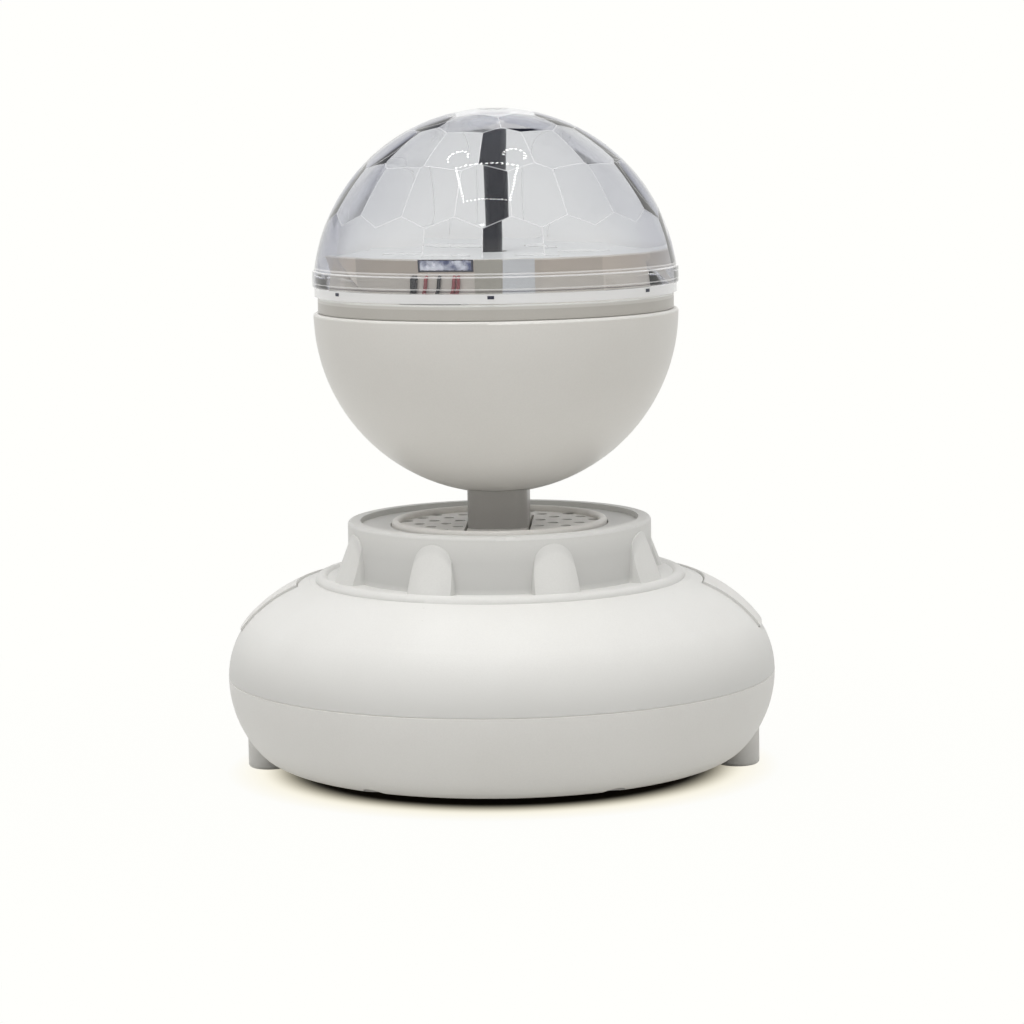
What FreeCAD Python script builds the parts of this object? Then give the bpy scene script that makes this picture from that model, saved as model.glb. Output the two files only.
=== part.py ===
import FreeCAD, Part
import math
import os
import Sketcher
from FreeCAD import Placement, Rotation, Vector

# Tabletop crystal ball light on a round speaker base, in millimetres.
# Z is up, the floor is z = 0 and the turning axis is x = y = 0.
# The side that the photograph shows looks along -Y; the controls are on the +Y side.

DRIVING = [
    # saucer base, outline of both shells
    ("base_radius", 60.5, "largest radius of the saucer, at the seam"),
    ("seam_height", 21.5, "height of the seam between the shells"),
    ("shell_wall", 2.0, "wall of both base shells"),
    ("side_arc", 18.6, "radius of the upper side arc"),
    ("side_turn", 43.5, "angle where the side arc meets the shoulder arc"),
    ("shoulder_arc", 29.5, "radius of the shoulder arc"),
    ("under_arc", 23.9, "radius of the lower side arc"),
    ("under_turn", 40.4, "angle where the lower side arc meets the heel arc"),
    ("heel_arc", 9.9, "radius of the arc that ends in the flat underside"),
    ("groove_depth", 0.35, "depth of the shadow line at the seam"),
    ("groove_height", 0.35, "height of the shadow line at the seam"),
    ("tongue_height", 2.4, "height of the lower shell's tongue"),
    ("tongue_wall", 1.0, "thickness of the tongue"),
    ("fit_gap", 0.15, "clearance of parts that slide into each other"),
    ("play", 0.3, "clearance between moving and fixed parts"),
    ("overrun", 1.0, "how far cutting tools pass a face"),
    # neck of the upper shell
    ("bead_foot", 1.0, "depth of the bead's foot under the ledge"),
    ("bead_inset", 2.91, "distance of the bead's centre line from the shoulder's edge"),
    ("bead_drop", 0.9, "depth of the bead's centre line under the ledge"),
    ("bead_round", 1.5, "section radius of the bead"),
    ("ledge_lift", 21.8, "height of the ledge over the seam"),
    ("ledge_drop", 2.6, "depth of the shell's inner corner under the ledge"),
    ("ledge_width", 5.9, "distance of the neck from the bead's centre line"),
    ("lip_rise", 1.2, "height of the neck's lip over the deck"),
    ("lip_round", 0.8, "rounding of the lip"),
    ("lip_wall", 2.8, "width of the lip"),
    ("deck_lift", 11.1, "height of the sunk deck over the ledge"),
    ("deck_wall", 2.0, "thickness of the deck"),
    # ribs round the neck
    ("rib_count", 8, "number of ribs"),
    ("rib_offset", 22.5, "angle of the first rib from the front"),
    ("rib_width", 10.2, "width of a rib at its foot"),
    ("rib_inset", 1.1, "distance of a rib's foot from the bead's centre line"),
    ("rib_drop", 0.6, "how far a rib's top lies under the deck"),
    ("rib_proud", 0.3, "how far a rib's top stands out of the neck"),
    ("rib_round", 7.5, "radius of a rib's rounded front"),
    ("rib_tip", 4.5, "radius of the arc at a rib's top"),
    # control panel on the far side of the shoulder
    ("panel_span", 195.5, "angle that the panel covers"),
    ("panel_low", 34.0, "angle of the panel's lower edge on the side arc"),
    ("panel_high", 68.0, "angle of the panel's upper edge on the shoulder arc"),
    ("panel_sink", 0.8, "depth of the panel's seat in the shell"),
    ("panel_proud", 0.5, "how far the panel stands out of the shell"),
    ("panel_gap", 0.25, "groove round the panel"),
    ("panel_glue", 0.05, "glue film under the panel"),
    # push buttons on the panel
    ("button_count", 5, "number of push buttons"),
    ("button_pitch", 14.0, "angle between neighbouring buttons"),
    ("button_lean", 58.0, "angle of the button axes on the shoulder arc"),
    ("button_radius", 3.7, "radius of a button's cap"),
    ("button_proud", 1.0, "how far a cap stands out of the panel"),
    ("button_round", 0.7, "rounding of a cap's edge"),
    ("flange_radius", 4.8, "radius of a button's inner flange"),
    ("flange_height", 0.8, "thickness of a button's flange"),
    ("flange_drop", 0.8, "how far the flange's top lies under the shell's wall"),
    ("button_travel", 0.4, "travel of a button"),
    ("tact_side", 6.0, "side of a tact switch"),
    ("tact_height", 2.8, "height of a tact switch"),
    ("tact_nub", 0.7, "height of the plunger on a tact switch"),
    ("carrier_wall", 1.2, "thickness of the button carrier"),
    ("carrier_lean", 15.0, "half angle of the carrier about the button axes"),
    ("carrier_rim", 3.0, "angle that a rim of the carrier covers"),
    ("carrier_span", 78.0, "angle that the carrier covers round the base"),
    # screws and their bosses in the base
    ("boss_inset", 10.5, "distance of the case screws from the base's edge"),
    ("boss_turn_front", 30.0, "angle of the front case screws from the front"),
    ("boss_turn_back", 46.0, "angle of the back case screws from the back"),
    ("boss_radius", 3.5, "radius of a screw boss"),
    ("boss_sink", 1.3, "skin left over the upper bosses"),
    ("screw_radius", 1.2, "radius of a case screw's shank"),
    ("screw_clear", 0.05, "clearance round a screw's shank"),
    ("head_radius", 2.3, "radius of a case screw's head"),
    ("head_height", 1.6, "height of a case screw's head"),
    ("head_depth", 5.5, "depth of the seat of a case screw's head"),
    ("screw_reach", 9.5, "reach of a case screw over the seam"),
    # feet
    ("foot_inset", 8.4, "distance of the side feet from the base's edge"),
    ("foot_radius", 4.9, "radius of a side foot"),
    ("foot_edge", 0.9, "rounding of a foot's edge"),
    ("foot_socket", 7.5, "depth of a side foot's socket over the underside"),
    ("foot_socket_wall", 1.5, "wall of a foot's socket"),
    ("ring_inner", 24.0, "inner radius of the rubber foot ring"),
    ("ring_outer", 30.0, "outer radius of the rubber foot ring"),
    ("ring_seat", 0.8, "depth of the ring's seat in the underside"),
    # sockets in the lower shell's far side
    ("board_screw", 0.9, "radius of a board screw's shank"),
    ("port_width", 9.0, "width of the power socket"),
    ("port_tall", 3.2, "height of the power socket"),
    ("port_deep", 10.4, "length of the power socket"),
    ("port_sink", 2.6, "distance of the power socket's mouth from the base's edge"),
    ("port_wall", 0.4, "sheet of the power socket"),
    ("port_tongue", 0.7, "thickness of the socket's tongue"),
    ("card_side", 14.0, "side of the card socket"),
    ("card_tall", 1.9, "height of the card socket"),
    ("card_slot_width", 11.6, "width of the slot for a card"),
    ("card_slot_tall", 1.5, "height of the slot for a card"),
    ("card_place", 15.5, "distance of the card socket from the middle"),
    ("switch_place", 15.5, "distance of the power switch from the middle"),
    ("switch_width", 8.6, "width of the power switch"),
    ("switch_deep", 4.4, "depth of the power switch"),
    ("switch_tall", 3.6, "height of the power switch"),
    ("knob_width", 2.0, "width of the switch's knob"),
    ("knob_tall", 1.8, "height of the switch's knob"),
    ("knob_sink", 2.5, "distance of the knob's tip from the base's edge"),
    ("knob_travel", 2.5, "travel of the knob"),
    # main board and battery
    ("board_width", 40.0, "width of the main board"),
    ("board_depth", 44.4, "depth of the main board"),
    ("board_set_back", 10.1, "distance of the main board from the base's edge"),
    ("board_lift", 6.2, "height of the main board over the underside"),
    ("board_thick", 1.6, "thickness of the boards"),
    ("post_radius", 2.4, "radius of the posts under the main board"),
    ("post_inset", 3.2, "distance of the posts from the board's edges"),
    ("cell_radius", 9.2, "radius of the battery cell"),
    ("cell_length", 65.0, "length of the battery cell"),
    ("cell_place", 28.0, "distance of the cell from the axis, to the front"),
    ("cell_nub_radius", 3.0, "radius of the cell's raised end"),
    ("cell_nub", 1.2, "height of the cell's raised end"),
    ("cradle_wall", 1.4, "wall of the battery cradle"),
    ("cradle_width", 8.0, "width of a cradle saddle"),
    ("cradle_place", 20.0, "distance of the saddles from the middle"),
    ("cradle_height", 8.5, "height of a saddle's arms over the floor of the shell"),
    # speaker
    ("deck_width", 6.9, "width of the deck round the speaker ring"),
    ("grille_thick", 1.0, "thickness of the grille plate"),
    ("grille_sink", 0.1, "depth of the grille's face under the deck"),
    ("ring_width", 1.7, "width of the speaker ring"),
    ("grille_seat", 1.2, "width of the seat under the grille"),
    ("ring_rise", 1.2, "height of the speaker ring over the deck"),
    ("hole_radius", 1.25, "radius of a grille hole"),
    ("hole_pitch", 5.9, "distance between grille holes"),
    ("hole_margin", 1.2, "plain rim of the plate round the grille holes"),
    ("spacer_gap", 3.7, "gap between the spacer ring and the neck's wall"),
    ("spacer_wall", 3.6, "wall of the speaker's spacer ring"),
    ("spacer_height", 7.8, "height of the spacer ring"),
    ("flange_thick", 1.2, "thickness of the speaker's flange"),
    ("flange_inset", 0.8, "how far the speaker's flange lies inside the spacer's edge"),
    ("flange_width", 4.4, "width of the speaker's flange"),
    ("basket_neck", 13.0, "inner radius of the basket at its foot"),
    ("basket_depth", 10.4, "depth of the basket"),
    ("basket_wall", 0.9, "wall of the basket"),
    ("magnet_radius", 14.8, "radius of the magnet"),
    ("magnet_height", 6.4, "height of the magnet"),
    ("magnet_bore", 6.2, "radius of the magnet's bore"),
    ("yoke_thick", 1.8, "thickness of the yoke plate"),
    ("pole_radius", 4.3, "radius of the pole"),
    ("coil_inner", 4.7, "inner radius of the voice coil"),
    ("coil_outer", 5.5, "outer radius of the voice coil"),
    ("coil_dip", 3.0, "how far the voice coil reaches into the magnet"),
    ("cone_depth", 6.6, "depth of the cone's neck under the flange"),
    ("surround_width", 3.4, "width of the surround"),
    ("cone_thick", 0.5, "thickness of the cone"),
    ("dust_radius", 8.0, "radius of the dust cap"),
    ("dust_rise", 2.2, "height of the dust cap"),
    ("cone_travel", 0.5, "travel of the cone each way"),
    ("speaker_screw_inset", 2.2, "distance of the speaker screws from the spacer's edge"),
    ("speaker_screw", 0.8, "radius of a speaker screw's shank"),
    ("speaker_head", 1.4, "radius of a speaker screw's head"),
    # bridge and stem
    ("bridge_width", 13.2, "width of the bridge and of the stem"),
    ("slot_gap", 0.6, "gap between the bridge and the grille"),
    ("slot_inset", 8.1, "distance of the slot's ends from the speaker ring"),
    ("bar_inset", 1.2, "how far the bridge's bar ends inside the spacer's edge"),
    ("bar_thick", 1.1, "thickness of the bridge's bar"),
    ("bridge_gap", 0.1, "gap between the bridge's bar and the deck"),
    ("stem_depth", 20.0, "depth of the stem from front to back"),
    ("stem_round", 3.0, "rounding of the stem's upright edges"),
    ("seat_radius", 6.65, "radius of the bowl's flat seat on the stem"),
    ("stem_spigot", 5.0, "radius of the stem's two spigots"),
    ("stem_bore", 3.0, "radius of the stem's bore"),
    ("spigot_over", 1.0, "how far the spigot stands out of the nut"),
    ("nut_flats", 14.0, "width of the stem nut across its flats"),
    ("nut_thick", 3.0, "thickness of the stem nut"),
    # ball: bowl and cover
    ("ball_radius", 40.0, "radius of the ball"),
    ("stem_length", 7.7, "height of the bowl's seat over the grille"),
    ("bowl_wall", 2.0, "wall of the bowl"),
    ("rim_rise", 0.2, "height of the bowl's rim over the bowl's centre"),
    ("rim_round", 0.6, "rounding of the rim"),
    ("pad_thick", 3.0, "thickness of the bowl's foot"),
    ("cover_inset", 1.0, "how far the cover is set in from the ball"),
    ("cover_rise", 3.4, "height of the cover over the rim"),
    ("cover_wall", 1.6, "thickness of the cover's plate"),
    ("cover_groove", 0.2, "height of the dark groove over the rim"),
    ("cover_groove_depth", 0.25, "depth of the dark groove over the rim"),
    ("cover_drop", 4.1, "depth of the cover's tongue under the rim"),
    ("cover_hole", 4.0, "radius of the cover's middle hole"),
    ("lead_hole", 2.0, "radius of the hole for the lead"),
    ("cover_screw", 1.0, "radius of a cover screw's shank"),
    ("cover_screw_length", 9.0, "length of a cover screw under the plate"),
    ("cover_screw_inset", 5.0, "distance of the cover screws from the lamp housing's face"),
    ("cover_screw_count", 3, "number of cover screws"),
    ("cover_screw_turn", 30.0, "angle of the first cover screw from the right"),
    ("tower_radius", 2.6, "radius of the towers for the cover screws"),
    # lamp housing, board and lenses
    ("lamp_inset", 3.0, "how far the lamp housing is set in from the cover"),
    ("lamp_wall", 1.4, "wall of the lamp housing"),
    ("lamp_height", 9.3, "height of the lamp housing"),
    ("lamp_hole", 3.0, "radius of the lamp housing's middle hole"),
    ("led_board_lift", 2.2, "height of the LED board over the cover"),
    ("led_board_inset", 3.0, "distance of the LED board's edge from the housing's face"),
    ("led_count", 6, "number of LEDs"),
    ("led_circle", 20.0, "radius of the circle of LEDs"),
    ("led_side", 5.0, "side of an LED"),
    ("led_height", 1.5, "height of an LED"),
    ("lens_radius", 5.0, "radius of an LED lens"),
    ("lens_flange", 6.0, "radius of a lens's flange"),
    ("lens_proud", 0.1, "how far a lens stands out of the housing"),
    ("wire_gate", 1.7, "radius of the notch for the coloured leads"),
    ("wire_start", 9.0, "angle of that notch from the front"),
    ("wire_span", 22.0, "angle that the longer lead covers"),
    ("wire_radius", 0.45, "radius of the coloured leads"),
    ("lamp_post_radius", 2.2, "radius of the posts under the LED board"),
    ("lamp_post_inset", 4.5, "distance of the board's posts from its edge"),
    # gearbox, motor and gears
    ("tooth_module", 0.5, "module of the gears"),
    ("wheel_teeth", 40, "teeth of the large gears"),
    ("pinion_teeth", 10, "teeth of the small gears"),
    ("tooth_slack", 0.12, "backlash of a tooth, each side"),
    ("gear_thick", 1.8, "thickness of the large gears"),
    ("level_lift", 2.2, "height of the first gears over the box's underside"),
    ("level_step", 2.7, "height between two pairs of gears"),
    ("box_height", 10.9, "height of the gearbox's tray"),
    ("box_wall", 1.2, "wall of the gearbox"),
    ("hanger_length", 3.0, "length of the gearbox's hangers"),
    ("box_cover", 1.5, "thickness of the gearbox's cover"),
    ("shaft_radius", 1.5, "radius of the output shaft"),
    ("shaft_lift", 0.2, "height of the output shaft's end over the box's underside"),
    ("run_gap", 0.05, "running clearance of shafts in their bores"),
    ("motor_radius", 8.0, "radius of the motor"),
    ("motor_length", 15.0, "length of the motor"),
    ("motor_cap", 2.4, "height of the motor's end cap"),
    ("motor_shaft", 0.75, "radius of the motor's shaft"),
    ("motor_boss", 2.6, "radius of the motor's bearing boss"),
    ("pin_radius", 0.75, "radius of the pin that carries the second gear"),
    ("hanger_radius", 2.6, "radius of the posts that hold the gearbox"),
    ("hanger_screw", 0.9, "radius of a gearbox screw's shank"),
    ("hanger_head", 1.7, "radius of a gearbox screw's head"),
    ("hanger_reach", 1.8, "distance of the hangers from the box's side"),
    ("ear_height", 4.0, "height of the gearbox's screw ears"),
    # dome and its drive
    ("dome_lift", 0.6, "height of the dome's centre over the cover"),
    ("clear_ring_height", 2.0, "height of the clear ring"),
    ("band_height", 3.7, "height of the clear band under the ledge"),
    ("band_proud", 0.1, "how far the clear band stands out of the dome"),
    ("facet_wall", 2.4, "least wall of the dome, at a facet's middle"),
    ("facet_turn", 11.7, "angle of the first facet from the front"),
    ("clear_ring_inset", 0.25, "how far the clear ring is set in from the ball"),
    ("clear_ring_wall", 1.5, "wall of the clear ring"),
    ("tab_count", 7, "number of tabs on the clear ring"),
    ("tab_turn", 2.7, "angle of the first tab from the front"),
    ("tab_width", 2.0, "width of a tab"),
    ("tab_depth", 0.8, "depth of a tab"),
    ("post_body", 2.1, "radius of the black drive post"),
    ("post_gap", 0.6, "gap between the gearbox and the drive post"),
    ("post_grip", 5.0, "length of the shaft inside the drive post"),
    ("post_head_length", 5.2, "length of the drive post's head"),
    ("post_head", 2.75, "radius of the post's head"),
    ("boss_length", 4.0, "length of the boss inside the apex"),
    ("dome_boss", 3.4, "radius of the boss inside the dome's apex"),
    ("cap_radius", 3.3, "radius of the apex cap"),
    ("cap_thick", 1.0, "thickness of the apex cap"),
    ("cap_sink", 0.3, "how far the apex cap lies under the dome's top"),
    ("apex_screw", 1.0, "radius of the apex screw's shank"),
    ("apex_head", 1.9, "radius of the apex screw's head"),
    ("apex_head_height", 1.2, "height of the apex screw's head"),
    ("apex_grip", 5.0, "length of the apex screw's shank"),
    # lead between the base and the ball
    ("lead_radius", 1.2, "radius of the lead through the stem"),
    ("lead_clear", 4.0, "distance of the lead from the gearbox's side"),
    ("lead_dip", 3.0, "depth of the lead's run under the bridge"),
    ("lead_inset", 1.9, "distance of the lead from the neck's inside"),
    ("lead_bend_drop", 4.0, "depth of the lead's upper bend under the gearbox"),
    ("lead_bend_rise", 9.0, "height of the lead's bend over the bowl's foot"),
]

# facet rows of the dome from its foot up: elevation of the row as a share of a right angle,
# and cells as a share of the foot row's count
ROW_LIFT_SHARES = [0.15, 0.383, 0.594, 0.789]
ROW_COUNT_SHARES = [1.0, 1.0, 0.78, 0.39]

# what stands on the main board: x as a share of its width from the middle, y as a share of its
# depth from its front edge, then width, depth and height as shares of the board's width
BOARD_PART_SHARES = [
    (-0.24, 0.37, 0.20, 0.20, 0.024),
    (0.24, 0.41, 0.12, 0.144, 0.024),
    (0.34, 0.78, 0.144, 0.144, 0.076),
    (0.19, 0.67, 0.136, 0.136, 0.184),
    (-0.12, 0.64, 0.136, 0.136, 0.184),
    (0.224, 0.12, 0.176, 0.12, 0.12),
    (-0.24, 0.12, 0.12, 0.176, 0.12),
    (0.0, 0.18, 0.24, 0.304, 0.032),
]
BOARD_PART_FORMS = ["chip", "chip", "coil", "can", "can", "plug", "plug", "chip"]

doc = FreeCAD.newDocument("BallLight")
sheet = doc.addObject("Spreadsheet::Sheet", "sizes")
for line, (alias, amount, meaning) in enumerate(DRIVING, start=1):
    sheet.set("A%d" % line, alias)
    sheet.set("B%d" % line, str(amount))
    sheet.set("C%d" % line, meaning)
    sheet.setAlias("B%d" % line, alias)
doc.recompute()


class Size:
    """A number with the expression that binds it to the sheet."""

    def __init__(self, number, text):
        self.number = number
        self.text = text

    def __add__(self, other):
        other = sized(other)
        return Size(self.number + other.number, "(%s + %s)" % (self.text, other.text))

    def __sub__(self, other):
        other = sized(other)
        return Size(self.number - other.number, "(%s - %s)" % (self.text, other.text))

    def __mul__(self, other):
        other = sized(other)
        return Size(self.number * other.number, "(%s * %s)" % (self.text, other.text))

    def __truediv__(self, other):
        other = sized(other)
        return Size(self.number / other.number, "(%s / %s)" % (self.text, other.text))

    def __neg__(self):
        return Size(-self.number, "(0 - %s)" % self.text)

    __radd__ = __add__
    __rmul__ = __mul__


def sized(item):
    if isinstance(item, Size):
        return item
    return Size(float(item), repr(float(item)))


def cosine(angle):
    angle = sized(angle)
    return Size(math.cos(math.radians(angle.number)), "cos(%s)" % angle.text)


def sine(angle):
    angle = sized(angle)
    return Size(math.sin(math.radians(angle.number)), "sin(%s)" % angle.text)


def other_leg(long_side, leg):
    """The second leg of a right triangle."""
    return root(long_side * long_side - leg * leg)


def root(square):
    return Size(math.sqrt(square.number), "sqrt(%s)" % square.text)


class Sizes:
    """Each alias of the sheet as an attribute."""

    def __init__(self):
        for alias, amount, meaning in DRIVING:
            setattr(self, alias, Size(float(amount), "sizes." + alias))


d = Sizes()
ZERO = sized(0)
FULL_TURN = sized(360)


def vector(x, y, z):
    return Vector(sized(x).number, sized(y).number, sized(z).number)


def bind(thing, prop, size):
    """Bind one property of an object to the sheet."""
    if sized(size).text == ZERO.text:
        setattr(thing, prop, 0) if "." not in prop else None
    else:
        thing.setExpression(prop, sized(size).text)


def put(thing, x, y, z, turn=Rotation()):
    """Give an object its place and turn; the place follows the sheet."""
    thing.Placement = Placement(vector(x, y, z), turn)
    bind(thing, "Placement.Base.x", x)
    bind(thing, "Placement.Base.y", y)
    bind(thing, "Placement.Base.z", z)
    return thing


def cylinder(radius, height, x=ZERO, y=ZERO, z=ZERO, turn=Rotation()):
    rod = doc.addObject("Part::Cylinder", "Rod")
    bind(rod, "Radius", radius)
    bind(rod, "Height", height)
    return put(rod, x, y, z, turn)


def block(width, depth, height, x=ZERO, y=ZERO, z=ZERO):
    """A box that stands on z with its middle over x and y."""
    box = doc.addObject("Part::Box", "Block")
    bind(box, "Length", width)
    bind(box, "Width", depth)
    bind(box, "Height", height)
    return put(box, x - width / 2, y - depth / 2, z)


def joined(*pieces):
    fuse = doc.addObject("Part::MultiFuse", "Join")
    fuse.Shapes = list(pieces)
    fuse.Refine = True
    return fuse


def without(base, *tools):
    tool = tools[0]
    if len(tools) > 1:
        tool = doc.addObject("Part::Compound", "Tools")
        tool.Links = list(tools)
    cut = doc.addObject("Part::Cut", "Cut")
    cut.Base = base
    cut.Tool = tool
    return cut


def overlap(base, tool):
    common = doc.addObject("Part::Common", "Overlap")
    common.Base = base
    common.Tool = tool
    return common


def together(*pieces):
    """Equal pieces that share one node."""
    group = doc.addObject("Part::Compound", "Group")
    group.Links = list(pieces)
    return group


kept = []


def keep(thing, label):
    """Name a finished sub-part; its label names its file."""
    thing.Label = label
    kept.append(thing)
    return thing


# Sketches: a closed outline is a list of corners. A corner is (x, y) after a straight run,
# or (x, y, centre_x, centre_y, "left" or "right") after an arc that turns that way.


def new_body(name):
    return doc.addObject("PartDesign::Body", name)


def origin_plane(body, role):
    return [item for item in body.Origin.OriginFeatures if item.Role == role][0]


def new_sketch(body, role):
    sketch = body.newObject("Sketcher::SketchObject", "Outline")
    sketch.AttachmentSupport = [(origin_plane(body, role), "")]
    sketch.MapMode = "FlatFace"
    return sketch


def lock(sketch, geometry, point, x, y):
    """Tie a point of the sketch to the sheet."""
    for kind, size, axis in (("DistanceX", sized(x), -2), ("DistanceY", sized(y), -1)):
        if size.text == ZERO.text:
            sketch.addConstraint(Sketcher.Constraint("PointOnObject", geometry, point, axis))
        else:
            number = sketch.addConstraint(
                Sketcher.Constraint(kind, -1, 1, geometry, point, size.number))
            sketch.setExpression("Constraints[%d]" % number, size.text)


def draw(sketch, corners):
    """Draw a closed outline and tie its corners and arcs to the sheet."""
    ends = []
    for index, corner in enumerate(corners):
        before = corners[index - 1]
        start = vector(before[0], before[1], 0)
        stop = vector(corner[0], corner[1], 0)
        if len(corner) == 2:
            number = sketch.addGeometry(Part.LineSegment(start, stop), False)
            ends.append((number, 1, 2))
            continue
        centre = vector(corner[2], corner[3], 0)
        if corner[4] == "right":
            start, stop = stop, start
        angles = [math.atan2(end.y - centre.y, end.x - centre.x) for end in (start, stop)]
        if angles[1] < angles[0]:
            angles[1] += 2 * math.pi
        circle = Part.Circle(centre, Vector(0, 0, 1), start.distanceToPoint(centre))
        number = sketch.addGeometry(Part.ArcOfCircle(circle, angles[0], angles[1]), False)
        ends.append((number, 2, 1) if corner[4] == "right" else (number, 1, 2))
    for index, (number, first, last) in enumerate(ends):
        following = ends[(index + 1) % len(ends)]
        sketch.addConstraint(Sketcher.Constraint("Coincident", number, last, following[0], following[1]))
    for index, (number, first, last) in enumerate(ends):
        corner = corners[index]
        before = corners[index - 1]
        lock(sketch, number, last, corner[0], corner[1])
        if len(corner) == 2:
            continue
        rise = abs(sized(corner[1]).number - sized(before[1]).number)
        run = abs(sized(corner[0]).number - sized(before[0]).number)
        kind, size, axis = ("DistanceX", sized(corner[2]), -2)
        if run > rise:
            kind, size, axis = ("DistanceY", sized(corner[3]), -1)
        if size.text == ZERO.text:
            sketch.addConstraint(Sketcher.Constraint("PointOnObject", number, 3, axis))
        else:
            tied = sketch.addConstraint(Sketcher.Constraint(kind, -1, 1, number, 3, size.number))
            sketch.setExpression("Constraints[%d]" % tied, size.text)


def turned(name, corners, role="XZ_Plane", angle=None):
    """A body of revolution about Z; with an angle it is centred on the sketch's plane."""
    body = new_body(name)
    sketch = new_sketch(body, role)
    draw(sketch, corners)
    spin = body.newObject("PartDesign::Revolution", "Spin")
    spin.Profile = sketch
    spin.ReferenceAxis = (sketch, ["V_Axis"])
    if angle is not None:
        spin.Midplane = True
        bind(spin, "Angle", angle)
    return body


def raised(name, corners, role, height):
    """A straight body on a closed outline, raised along the plane's normal."""
    body = new_body(name)
    sketch = new_sketch(body, role)
    draw(sketch, corners)
    pad = body.newObject("PartDesign::Pad", "Block")
    pad.Profile = sketch
    bind(pad, "Length", height)
    return body


def add_groove(body, corners, role, angle):
    """Cut a band out of a body of revolution, centred on the sketch's plane."""
    sketch = new_sketch(body, role)
    draw(sketch, corners)
    groove = body.newObject("PartDesign::Groove", "Groove")
    groove.Profile = sketch
    groove.ReferenceAxis = (sketch, ["V_Axis"])
    groove.Midplane = True
    bind(groove, "Angle", angle)


# Base outline. The upper side arc starts upright at the seam and meets the shoulder arc; the lower
# side arc starts upright at the seam and meets the heel arc.

side_centre = d.base_radius - d.side_arc
shoulder_centre_r = side_centre + (d.side_arc - d.shoulder_arc) * cosine(d.side_turn)
shoulder_centre_z = d.seam_height + (d.side_arc - d.shoulder_arc) * sine(d.side_turn)
under_centre = d.base_radius - d.under_arc
heel_centre_r = under_centre + (d.under_arc - d.heel_arc) * cosine(d.under_turn)
heel_centre_z = d.seam_height - (d.under_arc - d.heel_arc) * sine(d.under_turn)
underside = heel_centre_z - d.heel_arc


def arc_angle(length, radius):
    """The angle that a length covers on an arc."""
    return length / radius * math.degrees(1)


def side_point(angle, radius):
    return (side_centre + radius * cosine(angle), d.seam_height + radius * sine(angle))


def shoulder_point(angle, radius):
    return (shoulder_centre_r + radius * cosine(angle), shoulder_centre_z + radius * sine(angle))


def at_shoulder(radius, height):
    return shoulder_centre_r + other_leg(radius, height - shoulder_centre_z)


# Upper shell: the ledge lies over the seam, the deck and the lip over the ledge.
ledge_height = d.seam_height + d.ledge_lift
shoulder_end = ledge_height - d.bead_foot
bead_height = ledge_height - d.bead_drop
bead_radius = at_shoulder(d.shoulder_arc, shoulder_end) - d.bead_inset
neck_radius = bead_radius - d.ledge_width
deck_height = ledge_height + d.deck_lift
lip_height = deck_height + d.lip_rise
lip_inner = neck_radius - d.lip_wall
rib_top = deck_height - d.rib_drop
rib_reach = bead_radius - d.rib_inset
rib_crown = neck_radius + d.rib_proud

# What stands in the base keeps its distance from the base's edge and from the underside.
boss_circle = d.base_radius - d.boss_inset
head_seat = underside + d.head_depth
screw_end = d.seam_height + d.screw_reach
foot_circle = d.base_radius - d.foot_inset
foot_top = underside + d.foot_socket
port_face = d.base_radius - d.port_sink
knob_reach = d.base_radius - d.knob_sink
board_back = d.base_radius - d.board_set_back
board_front = board_back - d.board_depth
board_low = underside + d.board_lift

# The speaker hangs under the deck, inside the neck.
grille_top = deck_height - d.grille_sink
grille_radius = lip_inner - d.deck_width
opening_radius = grille_radius - d.ring_width
deck_hole = grille_radius - d.grille_seat
ring_crest = deck_height + d.ring_rise
spacer_outer = neck_radius - d.shell_wall - d.spacer_gap
spacer_inner = spacer_outer - d.spacer_wall
speaker_top = deck_height - d.deck_wall - d.spacer_height
speaker_flange = spacer_outer - d.flange_inset
basket_mouth = speaker_flange - d.flange_width
basket_foot = speaker_top - d.basket_depth
coil_top = speaker_top - d.cone_depth
coil_low = basket_foot - d.coil_dip
cone_radius = basket_mouth - d.surround_width
speaker_screw_circle = spacer_outer - d.speaker_screw_inset
bar_half = spacer_outer - d.bar_inset
slot_half = opening_radius - d.slot_inset
slot_width = d.bridge_width + d.slot_gap * 2

# The ball stands on the stem; its cover, lamp housing and LED board lie on each other.
bowl_centre = grille_top + d.stem_length + other_leg(d.ball_radius, d.seat_radius + d.play)
pad_height = grille_top + d.stem_length + d.pad_thick
spigot_top = pad_height + d.nut_thick + d.spigot_over
bowl_rim = bowl_centre + d.rim_rise
cover_top = bowl_rim + d.cover_rise
cover_tongue = bowl_rim - d.cover_drop
cover_radius = d.ball_radius - d.cover_inset
lamp_radius = cover_radius - d.lamp_inset
cover_screw_circle = lamp_radius - d.cover_screw_inset
lamp_top = cover_top + d.lamp_height
led_board_low = cover_top + d.led_board_lift
led_board_radius = lamp_radius - d.led_board_inset
lamp_post_circle = led_board_radius - d.lamp_post_inset

# The gearbox hangs under the cover.
shaft_gap = d.tooth_module * (d.wheel_teeth + d.pinion_teeth) / 2
box_radius = d.tooth_module * (d.wheel_teeth / 2 + 1) + d.play + d.box_wall
box_top = cover_top - d.cover_wall - d.hanger_length - d.box_cover
box_floor = box_top - d.box_height
first_level = box_floor + d.level_lift
shaft_low = box_floor + d.shaft_lift
motor_low = box_floor - d.motor_length
hanger_side = box_radius + d.hanger_reach

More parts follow.
